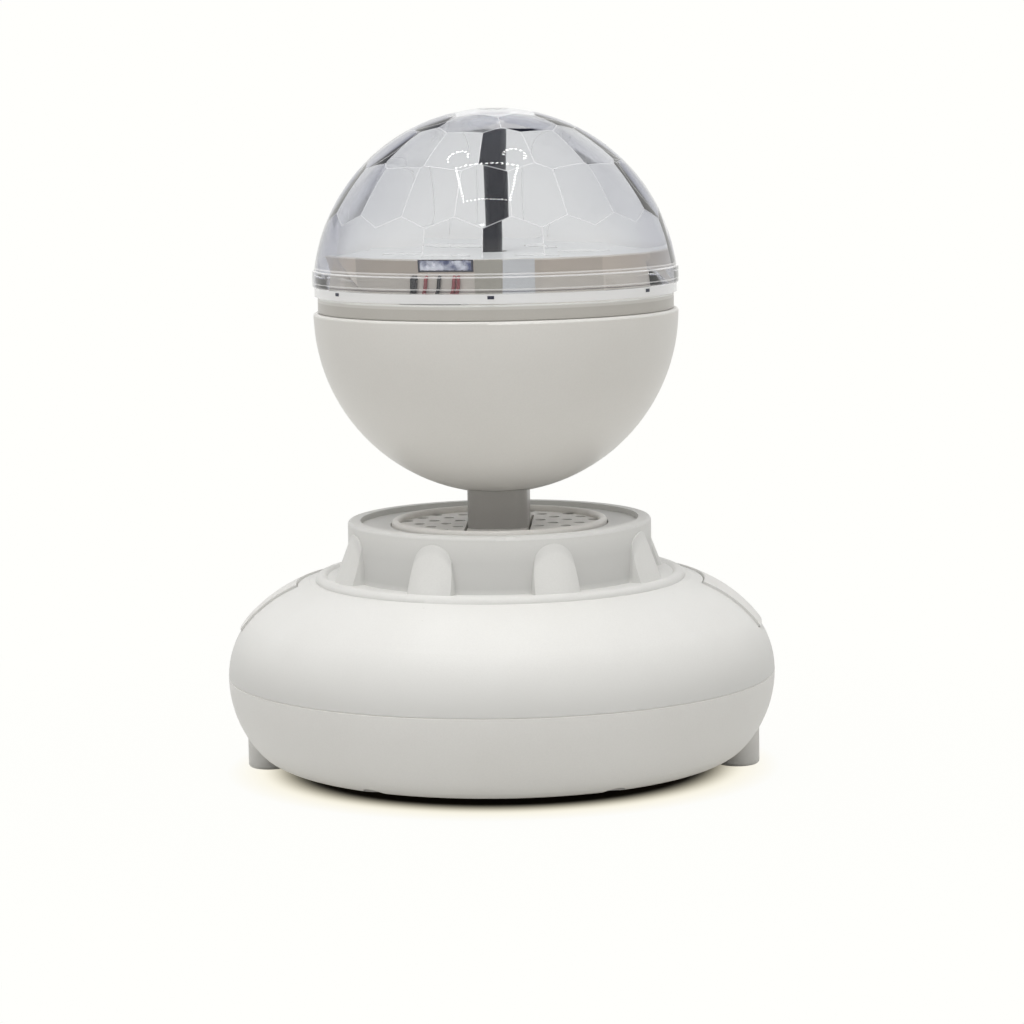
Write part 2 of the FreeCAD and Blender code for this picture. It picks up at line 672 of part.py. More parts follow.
# The dome turns just over the cover.
dome_centre = cover_top + d.dome_lift
clear_ring_low = cover_top + d.play
dome_foot = clear_ring_low + d.clear_ring_height
dome_ledge = dome_foot + d.band_height
dome_band = d.ball_radius + d.band_proud
facet_distance = d.ball_radius - d.facet_wall
clear_ring_radius = d.ball_radius - d.clear_ring_inset
clear_ring_inner = clear_ring_radius - d.clear_ring_wall
post_foot = box_top + d.box_cover + d.post_gap
post_top = dome_centre + facet_distance - d.boss_length
post_neck = post_top - d.post_head_length

# The lead passes the gearbox and goes down through the stem.
lead_swing = box_radius + d.lead_clear
lead_bend_high = box_floor - d.lead_bend_drop
lead_bend_stem = pad_height + d.lead_bend_rise
lead_bend_low = deck_height - d.deck_wall - d.bridge_gap - d.bar_thick - d.lead_dip
lead_drop = neck_radius - d.shell_wall - d.lead_inset


def shoulder_band(low, high, inner, outer):
    """Outline of a band that follows the side and shoulder arcs, offset from them."""
    return [
        side_point(low, d.side_arc + outer),
        side_point(d.side_turn, d.side_arc + outer) + (side_centre, d.seam_height, "left"),
        shoulder_point(high, d.shoulder_arc + outer) + (shoulder_centre_r, shoulder_centre_z, "left"),
        shoulder_point(high, d.shoulder_arc + inner),
        side_point(d.side_turn, d.side_arc + inner) + (shoulder_centre_r, shoulder_centre_z, "right"),
        side_point(low, d.side_arc + inner) + (side_centre, d.seam_height, "right"),
    ]


def case_screw_places():
    """The four case screws, either side of the front and of the back."""
    places = []
    for side in (1, -1):
        for end, turn in ((1, d.boss_turn_back), (-1, d.boss_turn_front)):
            x = boss_circle * sine(turn) * side
            y = boss_circle * cosine(turn) * end
            places.append((x, y))
    return places


def button_places():
    """Turn about Z, from the far side, and the place of the shoulder arc's centre for each button."""
    places = []
    for index in range(int(d.button_count.number)):
        turn = (sized(index) - (d.button_count - 1) / 2) * d.button_pitch
        places.append(turn)
    return places


def on_button_axis(thing, turn, distance):
    """Stand an object on a button's axis, at a distance from the shoulder arc's centre."""
    along = shoulder_centre_r + distance * cosine(d.button_lean)
    up = shoulder_centre_z + distance * sine(d.button_lean)
    lean = Rotation(Vector(1, 0, 0), -(90 - d.button_lean.number))
    swing = Rotation(Vector(0, 0, 1), -turn.number)
    return put(thing, along * sine(turn), along * cosine(turn), up, swing.multiply(lean))


def upper_shell():
    wall = d.shell_wall
    under_ledge = ledge_height - d.ledge_drop
    groove_top = d.seam_height + d.groove_height
    bead_side = other_leg(d.bead_round, ledge_height - bead_height)
    shoulder_centre = (shoulder_centre_r, shoulder_centre_z, "left")
    lip_centre = (neck_radius - d.lip_round, lip_height - d.lip_round, "left")
    corners = [
        (d.base_radius - d.groove_depth, d.seam_height),
        (d.base_radius - d.groove_depth, groove_top),
        (side_centre + other_leg(d.side_arc, d.groove_height), groove_top),
        side_point(d.side_turn, d.side_arc) + (side_centre, d.seam_height, "left"),
        (at_shoulder(d.shoulder_arc, shoulder_end), shoulder_end) + shoulder_centre,
        (bead_radius + d.bead_round, bead_height),
        (bead_radius - bead_side, ledge_height, bead_radius, bead_height, "left"),
        (neck_radius, ledge_height),
        (neck_radius, lip_height - d.lip_round),
        (neck_radius - d.lip_round, lip_height) + lip_centre,
        (lip_inner, lip_height),
        (lip_inner, deck_height),
        (grille_radius + d.play, deck_height),
        (grille_radius + d.play, grille_top - d.grille_thick),
        (deck_hole, grille_top - d.grille_thick),
        (deck_hole, deck_height - d.deck_wall),
        (neck_radius - wall, deck_height - d.deck_wall),
        (neck_radius - wall, under_ledge),
        (at_shoulder(d.shoulder_arc - wall, under_ledge), under_ledge),
        side_point(d.side_turn, d.side_arc - wall) + (shoulder_centre_r, shoulder_centre_z, "right"),
        (d.base_radius - wall, d.seam_height, side_centre, d.seam_height, "right"),
    ]
    body = turned("UpperSkin", corners)
    low = d.panel_low - arc_angle(d.panel_gap, d.side_arc)
    high = d.panel_high + arc_angle(d.panel_gap, d.shoulder_arc)
    seat = shoulder_band(low, high, -d.panel_sink, d.overrun)
    add_groove(body, seat, "YZ_Plane", d.panel_span + arc_angle(d.panel_gap, d.base_radius) * 2)
    bosses = []
    for x, y in case_screw_places():
        bosses.append(cylinder(d.boss_radius, d.shoulder_arc, x, y, d.seam_height))
    pieces = [body, overlap(together(*bosses), upper_form())]
    pieces += [rib(index) for index in range(int(d.rib_count.number))]
    shell = joined(*pieces)
    tools = []
    for x, y in case_screw_places():
        bore = d.screw_radius + d.screw_clear
        tools.append(cylinder(bore, screw_end + d.overrun - d.seam_height, x, y, d.seam_height))
    for x, y in speaker_places():
        tools.append(cylinder(d.speaker_screw + d.screw_clear, d.deck_wall / 2 + d.fit_gap, x, y,
                              deck_height - d.deck_wall))
    for turn in button_places():
        hole = cylinder(d.button_radius + d.play, d.shoulder_arc)
        tools.append(on_button_axis(hole, turn, d.shoulder_arc / 2))
    keep(without(shell, *tools), "upper_shell")


def upper_form():
    """The filled inside of the upper shell, a skin under its face, which trims the bosses."""
    skin = d.boss_sink
    centre = (shoulder_centre_r, shoulder_centre_z, "left")
    return turned("UpperForm", [
        (ZERO, d.seam_height),
        (d.base_radius - skin, d.seam_height),
        side_point(d.side_turn, d.side_arc - skin) + (side_centre, d.seam_height, "left"),
        shoulder_point(d.panel_high, d.shoulder_arc - skin) + centre,
        (ZERO, shoulder_point(d.panel_high, d.shoulder_arc - skin)[1]),
    ])


def rib(index):
    """One buttress: an arched block whose front is cut to a leaning round rod."""
    turn = d.rib_offset + FULL_TURN * index / d.rib_count
    swing = Rotation(Vector(0, 0, 1), turn.number)
    foot = ledge_height - d.overrun / 2
    rise = rib_top - foot
    half = d.rib_width / 2
    # the two side arcs start upright at the foot and meet the arc at the top
    tip_height = rise - d.rib_tip
    side = (half * half - d.rib_tip * d.rib_tip + tip_height * tip_height) / ((half - d.rib_tip) * 2)
    side_place = half - side
    reach = side / (side - d.rib_tip)
    meet_x = side_place - side_place * reach
    meet_z = foot + tip_height * reach
    start = neck_radius - d.shell_wall / 2
    arch = raised("Arch", [
        (half, foot),
        (meet_x, meet_z, side_place, foot, "left"),
        (-meet_x, meet_z, ZERO, foot + tip_height, "left"),
        (-half, foot, -side_place, foot, "left"),
    ], "XZ_Plane", rib_reach - start + d.overrun)
    put(arch, start * sine(turn), -start * cosine(turn), ZERO, swing)
    inward = rib_reach - rib_crown
    length = root(rise * rise + inward * inward)
    # the rod's axis lies behind its front line by its radius, measured level
    axis = rib_reach - d.rib_round * length / rise + inward * d.rib_round / rise
    lean = Rotation(Vector(1, 0, 0), -math.degrees(math.atan2(inward.number, rise.number)))
    rod = cylinder(d.rib_round, length + d.rib_round * 2, axis * sine(turn), -axis * cosine(turn),
                   foot - d.rib_round, swing.multiply(lean))
    return overlap(arch, rod)


def lower_form():
    """The lower shell's filled outline, which trims what is joined to the shell."""
    start = underside
    return turned("LowerForm", [
        (ZERO, start),
        (heel_centre_r, start),
        (under_centre + d.under_arc * cosine(d.under_turn), d.seam_height - d.under_arc * sine(d.under_turn),
         heel_centre_r, heel_centre_z, "left"),
        (d.base_radius, d.seam_height, under_centre, d.seam_height, "left"),
        (ZERO, d.seam_height),
    ])


def lower_shell():
    wall = d.shell_wall
    tongue_outer = d.base_radius - wall - d.play
    tongue_top = d.seam_height + d.tongue_height
    tongue_foot = d.seam_height - d.tongue_height
    meet_r = cosine(d.under_turn)
    meet_z = sine(d.under_turn)
    body = turned("LowerSkin", [
        (ZERO, underside),
        (d.ring_inner - d.fit_gap, underside),
        (d.ring_inner - d.fit_gap, underside + d.ring_seat),
        (d.ring_outer + d.fit_gap, underside + d.ring_seat),
        (d.ring_outer + d.fit_gap, underside),
        (heel_centre_r, underside),
        (under_centre + d.under_arc * meet_r, d.seam_height - d.under_arc * meet_z,
         heel_centre_r, heel_centre_z, "left"),
        (d.base_radius, d.seam_height, under_centre, d.seam_height, "left"),
        (tongue_outer, d.seam_height),
        (tongue_outer, tongue_top),
        (tongue_outer - d.tongue_wall, tongue_top),
        (tongue_outer - d.tongue_wall, tongue_foot),
        (under_centre + other_leg(d.under_arc - wall, d.tongue_height), tongue_foot),
        (under_centre + (d.under_arc - wall) * meet_r, d.seam_height - (d.under_arc - wall) * meet_z,
         under_centre, d.seam_height, "right"),
        (heel_centre_r, underside + wall, heel_centre_r, heel_centre_z, "right"),
        (ZERO, underside + wall),
    ])
    solids = []
    for x, y in case_screw_places():
        solids.append(cylinder(d.boss_radius, d.seam_height - underside, x, y, underside))
    for side in (1, -1):
        socket = d.foot_radius + d.fit_gap + d.foot_socket_wall
        height = foot_top + d.foot_socket_wall
        solids.append(cylinder(socket, height, foot_circle * side, ZERO, ZERO))
    for x, y in board_posts():
        solids.append(cylinder(d.post_radius, board_low - underside, x, y, underside))
    shell = joined(body, overlap(together(*solids), lower_form()))
    tools = []
    for x, y in case_screw_places():
        tools.append(cylinder(d.screw_radius + d.screw_clear, d.seam_height + d.overrun, x, y, ZERO))
        tools.append(cylinder(d.head_radius + d.play, head_seat, x, y, ZERO))
    for side in (1, -1):
        tools.append(cylinder(d.foot_radius + d.fit_gap, foot_top, foot_circle * side, ZERO, ZERO))
    depth = board_screw_length() - d.board_thick + d.fit_gap
    for x, y in board_posts():
        tools.append(cylinder(d.board_screw, depth, x, y, board_low - depth))
    reach = d.base_radius - port_face + d.shell_wall * 3
    port = block(d.port_width + d.play * 2, reach, d.port_tall + d.play * 2, ZERO,
                 port_face + reach / 2 - d.shell_wall * 2, board_face() - d.play)
    card_reach = d.base_radius - card_back()
    card = block(d.card_slot_width, card_reach, d.card_slot_tall, -d.card_place,
                 card_back() + card_reach / 2, card_middle() - d.card_slot_tall / 2)
    knob_reach = d.base_radius - switch_back()
    knob = block(d.knob_travel + d.knob_width + d.play * 2, knob_reach, d.knob_tall + d.play * 2,
                 d.switch_place, switch_back() + knob_reach / 2,
                 knob_middle() - d.knob_tall / 2 - d.play)
    keep(without(shell, *(tools + [port, card, knob])), "lower_shell")


def board_screw_length():
    return d.board_thick * 2.4


def board_posts():
    places = []
    for side in (1, -1):
        x = (d.board_width / 2 - d.post_inset) * side
        places.append((x, board_front + d.post_inset))
        places.append((x, board_back - d.card_side - d.post_inset))
    return places


def board_face():
    return board_low + d.board_thick


def card_middle():
    return board_face() + d.card_tall / 2


def card_back():
    """How far the card socket reaches to the back."""
    return board_back - d.play


def knob_middle():
    return board_face() + d.switch_tall / 2


def switch_back():
    return board_back


def feet():
    ends = []
    for side in (1, -1):
        post = turned("Foot", [
            (ZERO, ZERO),
            (d.foot_radius - d.foot_edge, ZERO),
            (d.foot_radius, d.foot_edge, d.foot_radius - d.foot_edge, d.foot_edge, "left"),
            (d.foot_radius, foot_top),
            (ZERO, foot_top),
        ])
        put(post, foot_circle * side, ZERO, ZERO)
        ends.append(post)
    keep(together(*ends), "side_feet")
    keep(turned("FootRing", [
        (d.ring_inner, ZERO),
        (d.ring_outer, ZERO),
        (d.ring_outer, underside + d.ring_seat),
        (d.ring_inner, underside + d.ring_seat),
    ]), "foot_ring")


def case_screws():
    screws = []
    for x, y in case_screw_places():
        shank = cylinder(d.screw_radius, screw_end - head_seat, x, y, head_seat)
        head = cylinder(d.head_radius, d.head_height, x, y, head_seat - d.head_height)
        recess = cylinder(d.screw_radius, d.head_height, x, y, head_seat - d.head_height * 3 / 2)
        screws.append(without(joined(shank, head), recess))
    keep(together(*screws), "case_screws")


def control_panel():
    band = shoulder_band(d.panel_low, d.panel_high, d.panel_glue - d.panel_sink, d.panel_proud)
    panel = turned("PanelBand", band, "YZ_Plane", d.panel_span)
    holes = []
    for turn in button_places():
        hole = cylinder(d.button_radius + d.play, d.shoulder_arc)
        holes.append(on_button_axis(hole, turn, d.shoulder_arc / 2))
    keep(without(panel, *holes), "control_panel")


def buttons():
    flange_top = d.shoulder_arc - d.shell_wall - d.flange_drop
    flange_low = flange_top - d.flange_height
    height = d.shoulder_arc + d.panel_proud + d.button_proud - flange_low
    edge = d.button_radius - d.button_round
    for index, turn in enumerate(button_places()):
        cap = turned("Cap", [
            (ZERO, ZERO),
            (d.flange_radius, ZERO),
            (d.flange_radius, d.flange_height),
            (d.button_radius, d.flange_height),
            (d.button_radius, height - d.button_round),
            (edge, height, edge, height - d.button_round, "left"),
            (ZERO, height),
        ])
        on_button_axis(cap, turn, flange_low)
        keep(cap, "push_button_%d" % (index + 1))
    tact_low = flange_low - d.button_travel - d.play - d.tact_height
    switches = []
    for turn in button_places():
        half = d.tact_side / 2
        tact = raised("Tact", [(-half, -half), (half, -half), (half, half), (-half, half)],
                      "XY_Plane", d.tact_height - d.tact_nub)
        nub = cylinder(d.tact_side / 4, d.tact_nub)
        on_button_axis(tact, turn, tact_low)
        on_button_axis(nub, turn, tact_low + d.tact_height - d.tact_nub)
        switches.append(joined(tact, nub))
    keep(together(*switches), "tact_switches")
    floor = tact_low - d.fit_gap
    low = d.button_lean - d.carrier_lean
    high = d.button_lean + d.carrier_lean
    rim = d.shoulder_arc - d.shell_wall - d.panel_glue
    under = floor - d.carrier_wall
    centre = (shoulder_centre_r, shoulder_centre_z)
    carrier = turned("CarrierBand", [
        shoulder_point(low, under) + centre + ("right",),
        shoulder_point(low, rim),
        shoulder_point(low + d.carrier_rim, rim) + centre + ("left",),
        shoulder_point(low + d.carrier_rim, floor),
        shoulder_point(high - d.carrier_rim, floor) + centre + ("left",),
        shoulder_point(high - d.carrier_rim, rim),
        shoulder_point(high, rim) + centre + ("left",),
        shoulder_point(high, under),
    ], "YZ_Plane", d.carrier_span)
    pads = []
    for turn in button_places():
        pad = cylinder(d.tact_side / 2, d.fit_gap + d.carrier_wall / 2)
        pads.append(on_button_axis(pad, turn, floor - d.carrier_wall / 2))
    keep(joined(carrier, *pads), "button_carrier")


def main_board():
    board = block(d.board_width, board_back - board_front, d.board_thick, ZERO,
                  (board_back + board_front) / 2, board_low)
    bores = [cylinder(d.board_screw, d.board_thick, x, y, board_low) for x, y in board_posts()]
    keep(without(board, *bores), "main_board")
    parts = []
    for (x, y, wide, deep, tall), shape in zip(BOARD_PART_SHARES, BOARD_PART_FORMS):
        place = (d.board_width * x, board_front + d.board_depth * y, board_face())
        if shape == "can":
            parts.append(cylinder(d.board_width * wide / 2, d.board_width * tall, *place))
        else:
            parts.append(block(d.board_width * wide, d.board_width * deep, d.board_width * tall, *place))
    keep(together(*parts), "board_parts")


def inner_screws():
    """Screws of the main board and of the speaker."""
    screws = []
    for x, y in board_posts():
        screws.append(screw(d.board_screw, d.post_radius * 0.8, d.board_thick * 0.7,
                            board_screw_length(), x, y, board_face(), 1))
    low = speaker_top - d.flange_thick
    for x, y in speaker_places():
        screws.append(screw(d.speaker_screw, d.speaker_head, d.flange_thick,
                            deck_height - d.deck_wall / 2 - low, x, y, low, -1))
    keep(together(*screws), "inner_screws")


def ball_screws():
    """Screws of the cover, of the LED board and of the gearbox."""
    screws = []
    for x, y in cover_screw_places():
        screws.append(screw(d.cover_screw, d.cover_screw * 1.8, d.cover_wall * 0.75,
                            d.cover_screw_length, x, y, cover_top, 1))
    for x, y in lamp_posts():
        screws.append(screw(d.board_screw, d.lamp_post_radius * 0.8, d.board_thick * 0.7,
                            d.board_thick * 2, x, y, led_board_low + d.board_thick, 1))
    for x, y in hanger_places():
        screws.append(screw(d.hanger_screw, d.hanger_head, d.box_wall,
                            d.ear_height + d.box_cover + d.cover_wall, x, y, box_top - d.ear_height, -1))
    keep(together(*screws), "ball_screws")


def screw(shank, head, head_height, length, x, y, z, up):
    """A screw whose head lies on z; with up = 1 the head is over z, with -1 under it."""
    if up > 0:
        rod = cylinder(shank, length, x, y, z - length)
        cap = cylinder(head, head_height, x, y, z)
        dent = cylinder(head / 2, head_height, x, y, z + head_height / 2)
    else:
        rod = cylinder(shank, length, x, y, z)
        cap = cylinder(head, head_height, x, y, z - head_height)
        dent = cylinder(head / 2, head_height, x, y, z - head_height * 3 / 2)
    return without(joined(rod, cap), dent)


def stadium(width, height, length, x, y, z):
    """A bar along Y with half-round sides that stands on z; its near end is at y."""
    half = height / 2
    bar = raised("Bar", [
        (width / 2 - half, ZERO),
        (width / 2 - half, height, width / 2 - half, half, "left"),
        (half - width / 2, height),
        (half - width / 2, ZERO, half - width / 2, half, "left"),
    ], "XZ_Plane", length)
    return put(bar, x, y + length, z)


def sockets():
    top = board_face()
    front = port_face - d.port_deep
    skin = stadium(d.port_width, d.port_tall, d.port_deep, ZERO, front, top)
    hollow = stadium(d.port_width - d.port_wall * 2, d.port_tall - d.port_wall * 2, d.port_deep,
                     ZERO, front + d.port_wall * 2, top + d.port_wall)
    tongue = block(d.port_width * 0.7, d.port_deep * 0.8, d.port_tongue, ZERO,
                   front + d.port_deep * 0.4, top + (d.port_tall - d.port_tongue) / 2)
    keep(joined(without(skin, hollow), tongue), "power_socket")
    card = block(d.card_side, d.card_side, d.card_tall, -d.card_place, card_back() - d.card_side / 2, top)
    slot = block(d.card_slot_width, d.card_side, d.card_slot_tall - d.port_wall * 2, -d.card_place,
                 card_back() - d.card_side / 2 + d.port_wall * 3,
                 card_middle() - d.card_slot_tall / 2 + d.port_wall)
    keep(without(card, slot), "card_socket")
    body = block(d.switch_width, d.switch_deep, d.switch_tall, d.switch_place,
                 switch_back() - d.switch_deep / 2, top)
    track = block(d.knob_travel + d.knob_width + d.play * 2, d.switch_deep * 0.75,
                  d.knob_tall + d.play * 2, d.switch_place, switch_back() - d.switch_deep * 0.75 / 2,
                  knob_middle() - d.knob_tall / 2 - d.play)
    keep(without(body, track), "power_switch")
    knob_front = switch_back() - d.switch_deep / 2
    knob = block(d.knob_width, knob_reach - knob_front, d.knob_tall, d.switch_place - d.knob_travel / 2,
                 (knob_reach + knob_front) / 2, knob_middle() - d.knob_tall / 2)
    keep(knob, "switch_knob")


def battery():
    along = Rotation(Vector(0, 1, 0), 90)
    floor = underside + d.shell_wall
    middle = floor + d.cradle_wall / 2 + d.cell_radius
    half = d.cell_length / 2
    cell = cylinder(d.cell_radius, d.cell_length, -half, -d.cell_place, middle, along)
    nub = cylinder(d.cell_nub_radius, d.cell_nub, half, -d.cell_place, middle, along)
    keep(joined(cell, nub), "battery_cell")
    saddles = []
    for side in (1, -1):
        x = d.cradle_place * side
        saddles.append(block(d.cradle_width, (d.cell_radius + d.cradle_wall) * 2, d.cradle_height,
                             x, -d.cell_place, floor))
    tie = block(d.cradle_place * 2, d.cradle_width, d.cradle_wall / 2, ZERO, -d.cell_place, floor)
    cradle = joined(tie, *saddles)
    trough = cylinder(d.cell_radius, d.cell_length, -half, -d.cell_place, middle, along)
    keep(without(cradle, trough), "battery_cradle")


def speaker_places():
    places = []
    for side in (1, -1):
        for end in (1, -1):
            reach = speaker_screw_circle * cosine(45)
            places.append((reach * side, reach * end))
    return places


def grille():
    bead = (grille_radius - opening_radius) / 2
    keep(turned("SpeakerRing", [
        (opening_radius, grille_top),
        (grille_radius, grille_top),
        (grille_radius, ring_crest - bead),
        (opening_radius, ring_crest - bead, opening_radius + bead, ring_crest - bead, "left"),
    ]), "speaker_ring")
    low = grille_top - d.grille_thick
    plate = cylinder(grille_radius, d.grille_thick, ZERO, ZERO, low)
    tools = [block(slot_width, slot_half * 2, d.grille_thick, ZERO, ZERO, low)]
    reach = grille_radius.number - d.hole_margin.number - d.hole_radius.number
    inner = slot_width.number / 2 + d.hole_radius.number
    rows = int(reach / (d.hole_pitch.number * math.sqrt(3) / 2)) + 1
    for row in range(-rows, rows + 1):
        for column in range(-rows, rows + 1):
            x = d.hole_pitch * (column + (row % 2) / 2)
            y = d.hole_pitch * math.sqrt(3) / 2 * row
            beside = abs(x.number) >= inner or abs(y.number) >= slot_half.number + d.hole_margin.number * 2
            if beside and math.hypot(x.number, y.number) <= reach:
                tools.append(cylinder(d.hole_radius, d.grille_thick, x, y, low))
    keep(without(plate, *tools), "speaker_grille")


def bridge():
    top = grille_top
    bar_top = deck_height - d.deck_wall - d.bridge_gap
    boss = block(d.bridge_width, (slot_half - d.play) * 2, top - bar_top, ZERO, ZERO, bar_top)
    bar = block(d.bridge_width, bar_half * 2, d.bar_thick, ZERO, ZERO, bar_top - d.bar_thick)
    hole = cylinder(d.stem_spigot + d.run_gap, lip_height, ZERO, ZERO, speaker_top)
    keep(without(joined(boss, bar), hole), "stem_bridge")
    deck_low = deck_height - d.deck_wall
    ring = turned("Spacer", [
        (spacer_inner, speaker_top),
        (spacer_outer, speaker_top),
        (spacer_outer, deck_low),
        (spacer_inner, deck_low),
    ])
    seat = block(d.bridge_width + d.fit_gap * 2, spacer_outer * 2 + d.overrun,
                 deck_low - bar_top + d.bar_thick, ZERO, ZERO, bar_top - d.bar_thick)
    pass_low = lead_bend_low - d.lead_radius - d.play
    passage = block((d.lead_radius + d.play) * 2, spacer_outer, deck_low - pass_low, ZERO,
                    spacer_outer, pass_low)
    bores = []
    for x, y in speaker_places():
        bores.append(cylinder(d.speaker_screw + d.screw_clear, deck_low - speaker_top, x, y, speaker_top))
    keep(without(ring, seat, passage, *bores), "speaker_spacer")


def speaker():
    top = speaker_top
    low = top - d.flange_thick
    plate = basket_foot - d.flange_thick
    wall = d.basket_wall
    frame = turned("Basket", [
        (basket_mouth, top),
        (d.basket_neck, basket_foot),
        (d.magnet_bore, basket_foot),
        (d.magnet_bore, plate),
        (d.magnet_radius, plate),
        (d.magnet_radius, basket_foot),
        (basket_mouth + wall, low),
        (speaker_flange, low),
        (speaker_flange, top),
    ])
    bores = []
    for x, y in speaker_places():
        bores.append(cylinder(d.speaker_screw + d.screw_clear, d.flange_thick, x, y, low))
    keep(without(frame, *bores), "speaker_frame")
    magnet_low = plate - d.magnet_height
    yoke_low = magnet_low - d.yoke_thick
    ring = cylinder(d.magnet_radius, d.magnet_height, ZERO, ZERO, magnet_low)
    keep(without(ring, cylinder(d.magnet_bore, d.magnet_height, ZERO, ZERO, magnet_low)), "speaker_magnet")
    base = cylinder(d.magnet_radius, d.yoke_thick, ZERO, ZERO, yoke_low)
    pole = cylinder(d.pole_radius, basket_foot - yoke_low, ZERO, ZERO, yoke_low)
    keep(joined(base, pole), "speaker_yoke")
    roll = (basket_mouth - cone_radius - d.play) / 2
    skin = d.cone_thick
    inner = cone_radius + d.play
    keep(turned("Surround", [
        (inner, top),
        (inner + skin, top),
        (basket_mouth - skin, top, inner + roll, top, "right"),
        (spacer_inner - d.play, top),
        (spacer_inner - d.play, top + skin),
        (basket_mouth, top + skin),
        (inner + roll, top + roll),
        (inner, top + skin),
    ]), "speaker_surround")
    cone_top = top - d.cone_travel * 2
    rise = (cone_top - coil_top) / (cone_radius - d.coil_outer)
    dust = coil_top + rise * (d.dust_radius - d.coil_outer)
    crest = dust + skin + d.dust_rise
    # centre of the dust cap's arc, from its half width and rise
    reach = (d.dust_radius * d.dust_radius - d.dust_rise * d.dust_rise) / (d.dust_rise * 2)
    keep(turned("Cone", [
        (d.coil_inner, coil_top),
        (d.coil_outer, coil_top),
        (cone_radius, cone_top),
        (cone_radius, cone_top + skin),
        (d.dust_radius, dust + skin),
        (ZERO, crest, ZERO, dust + skin - reach, "left"),
        (ZERO, crest - skin),
        (d.coil_inner, dust),
    ]), "speaker_cone")
    coil = cylinder(d.coil_outer, coil_top - coil_low, ZERO, ZERO, coil_low)
    bore = cylinder(d.coil_inner, coil_top - coil_low, ZERO, ZERO, coil_low)
    keep(without(coil, bore), "voice_coil")


def stem():
    side = d.bridge_width / 2
    end = d.stem_depth / 2
    flat_x = side - d.stem_round
    flat_y = end - d.stem_round
    column = raised("Column", [
        (side, flat_y),
        (flat_x, end, flat_x, flat_y, "left"),
        (-flat_x, end),
        (-side, flat_y, -flat_x, flat_y, "left"),
        (-side, -flat_y),
        (-flat_x, -end, -flat_x, -flat_y, "left"),
        (flat_x, -end),
        (side, -flat_y, flat_x, -flat_y, "left"),
    ], "XY_Plane", bowl_foot() + d.overrun - grille_top)
    put(column, ZERO, ZERO, grille_top)
    ball = doc.addObject("Part::Sphere", "Ball")
    bind(ball, "Radius", d.ball_radius + d.run_gap)
    put(ball, ZERO, ZERO, bowl_centre)
    low = deck_height - d.deck_wall - d.bridge_gap - d.bar_thick
    spigot = cylinder(d.stem_spigot, spigot_top - low, ZERO, ZERO, low)
    bore = cylinder(d.stem_bore, spigot_top - low, ZERO, ZERO, low)
    keep(without(joined(without(column, ball), spigot), bore), "stem_tube")
    nut = doc.addObject("Part::Prism", "Nut")
    nut.Polygon = 6
    bind(nut, "Circumradius", d.nut_flats / math.sqrt(3))
    bind(nut, "Height", d.nut_thick)
    put(nut, ZERO, ZERO, pad_height)
    bore = cylinder(d.stem_spigot + d.screw_clear, d.nut_thick, ZERO, ZERO, pad_height)
    keep(without(nut, bore), "stem_nut")


def bowl_foot():
    return bowl_centre - other_leg(d.ball_radius, d.seat_radius + d.play)


def cover_screw_places():
    places = []
    for index in range(int(d.cover_screw_count.number)):
        turn = d.cover_screw_turn + FULL_TURN * index / d.cover_screw_count
        places.append((cover_screw_circle * cosine(turn), cover_screw_circle * sine(turn)))
    return places


def lamp_posts():
    places = []
    for index in range(3):
        turn = sized(90) + FULL_TURN * index / 3
        places.append((lamp_post_circle * cosine(turn), lamp_post_circle * sine(turn)))
    return places


def hanger_places():
    return [(x, hanger_side * side) for x in (ZERO, -shaft_gap) for side in (1, -1)]


def bowl():
    inner = d.ball_radius - d.bowl_wall
    rim_r = other_leg(d.ball_radius, bowl_centre - bowl_rim + d.rim_round)
    foot = bowl_foot()
    skin = turned("BowlSkin", [
        (d.stem_spigot + d.screw_clear, foot),
        (other_leg(d.ball_radius, bowl_centre - foot), foot),
        (rim_r, bowl_rim - d.rim_round, ZERO, bowl_centre, "left"),
        (rim_r - d.rim_round, bowl_rim, rim_r - d.rim_round, bowl_rim - d.rim_round, "left"),
        (other_leg(inner, bowl_rim - bowl_centre), bowl_rim),
        (other_leg(inner, bowl_centre - pad_height), pad_height, ZERO, bowl_centre, "right"),
        (d.stem_spigot + d.screw_clear, pad_height),
    ])
    ball = doc.addObject("Part::Sphere", "Ball")
    bind(ball, "Radius", d.ball_radius - d.bowl_wall / 2)
    put(ball, ZERO, ZERO, bowl_centre)
    plate_low = cover_top - d.cover_wall
    towers = []
    bores = []
    for x, y in cover_screw_places():
        towers.append(cylinder(d.tower_radius, plate_low - pad_height, x, y, pad_height))
        bores.append(cylinder(d.cover_screw, d.cover_screw_length, x, y, plate_low - d.cover_screw_length))
    keep(without(joined(skin, overlap(together(*towers), ball)), *bores), "bowl_shell")


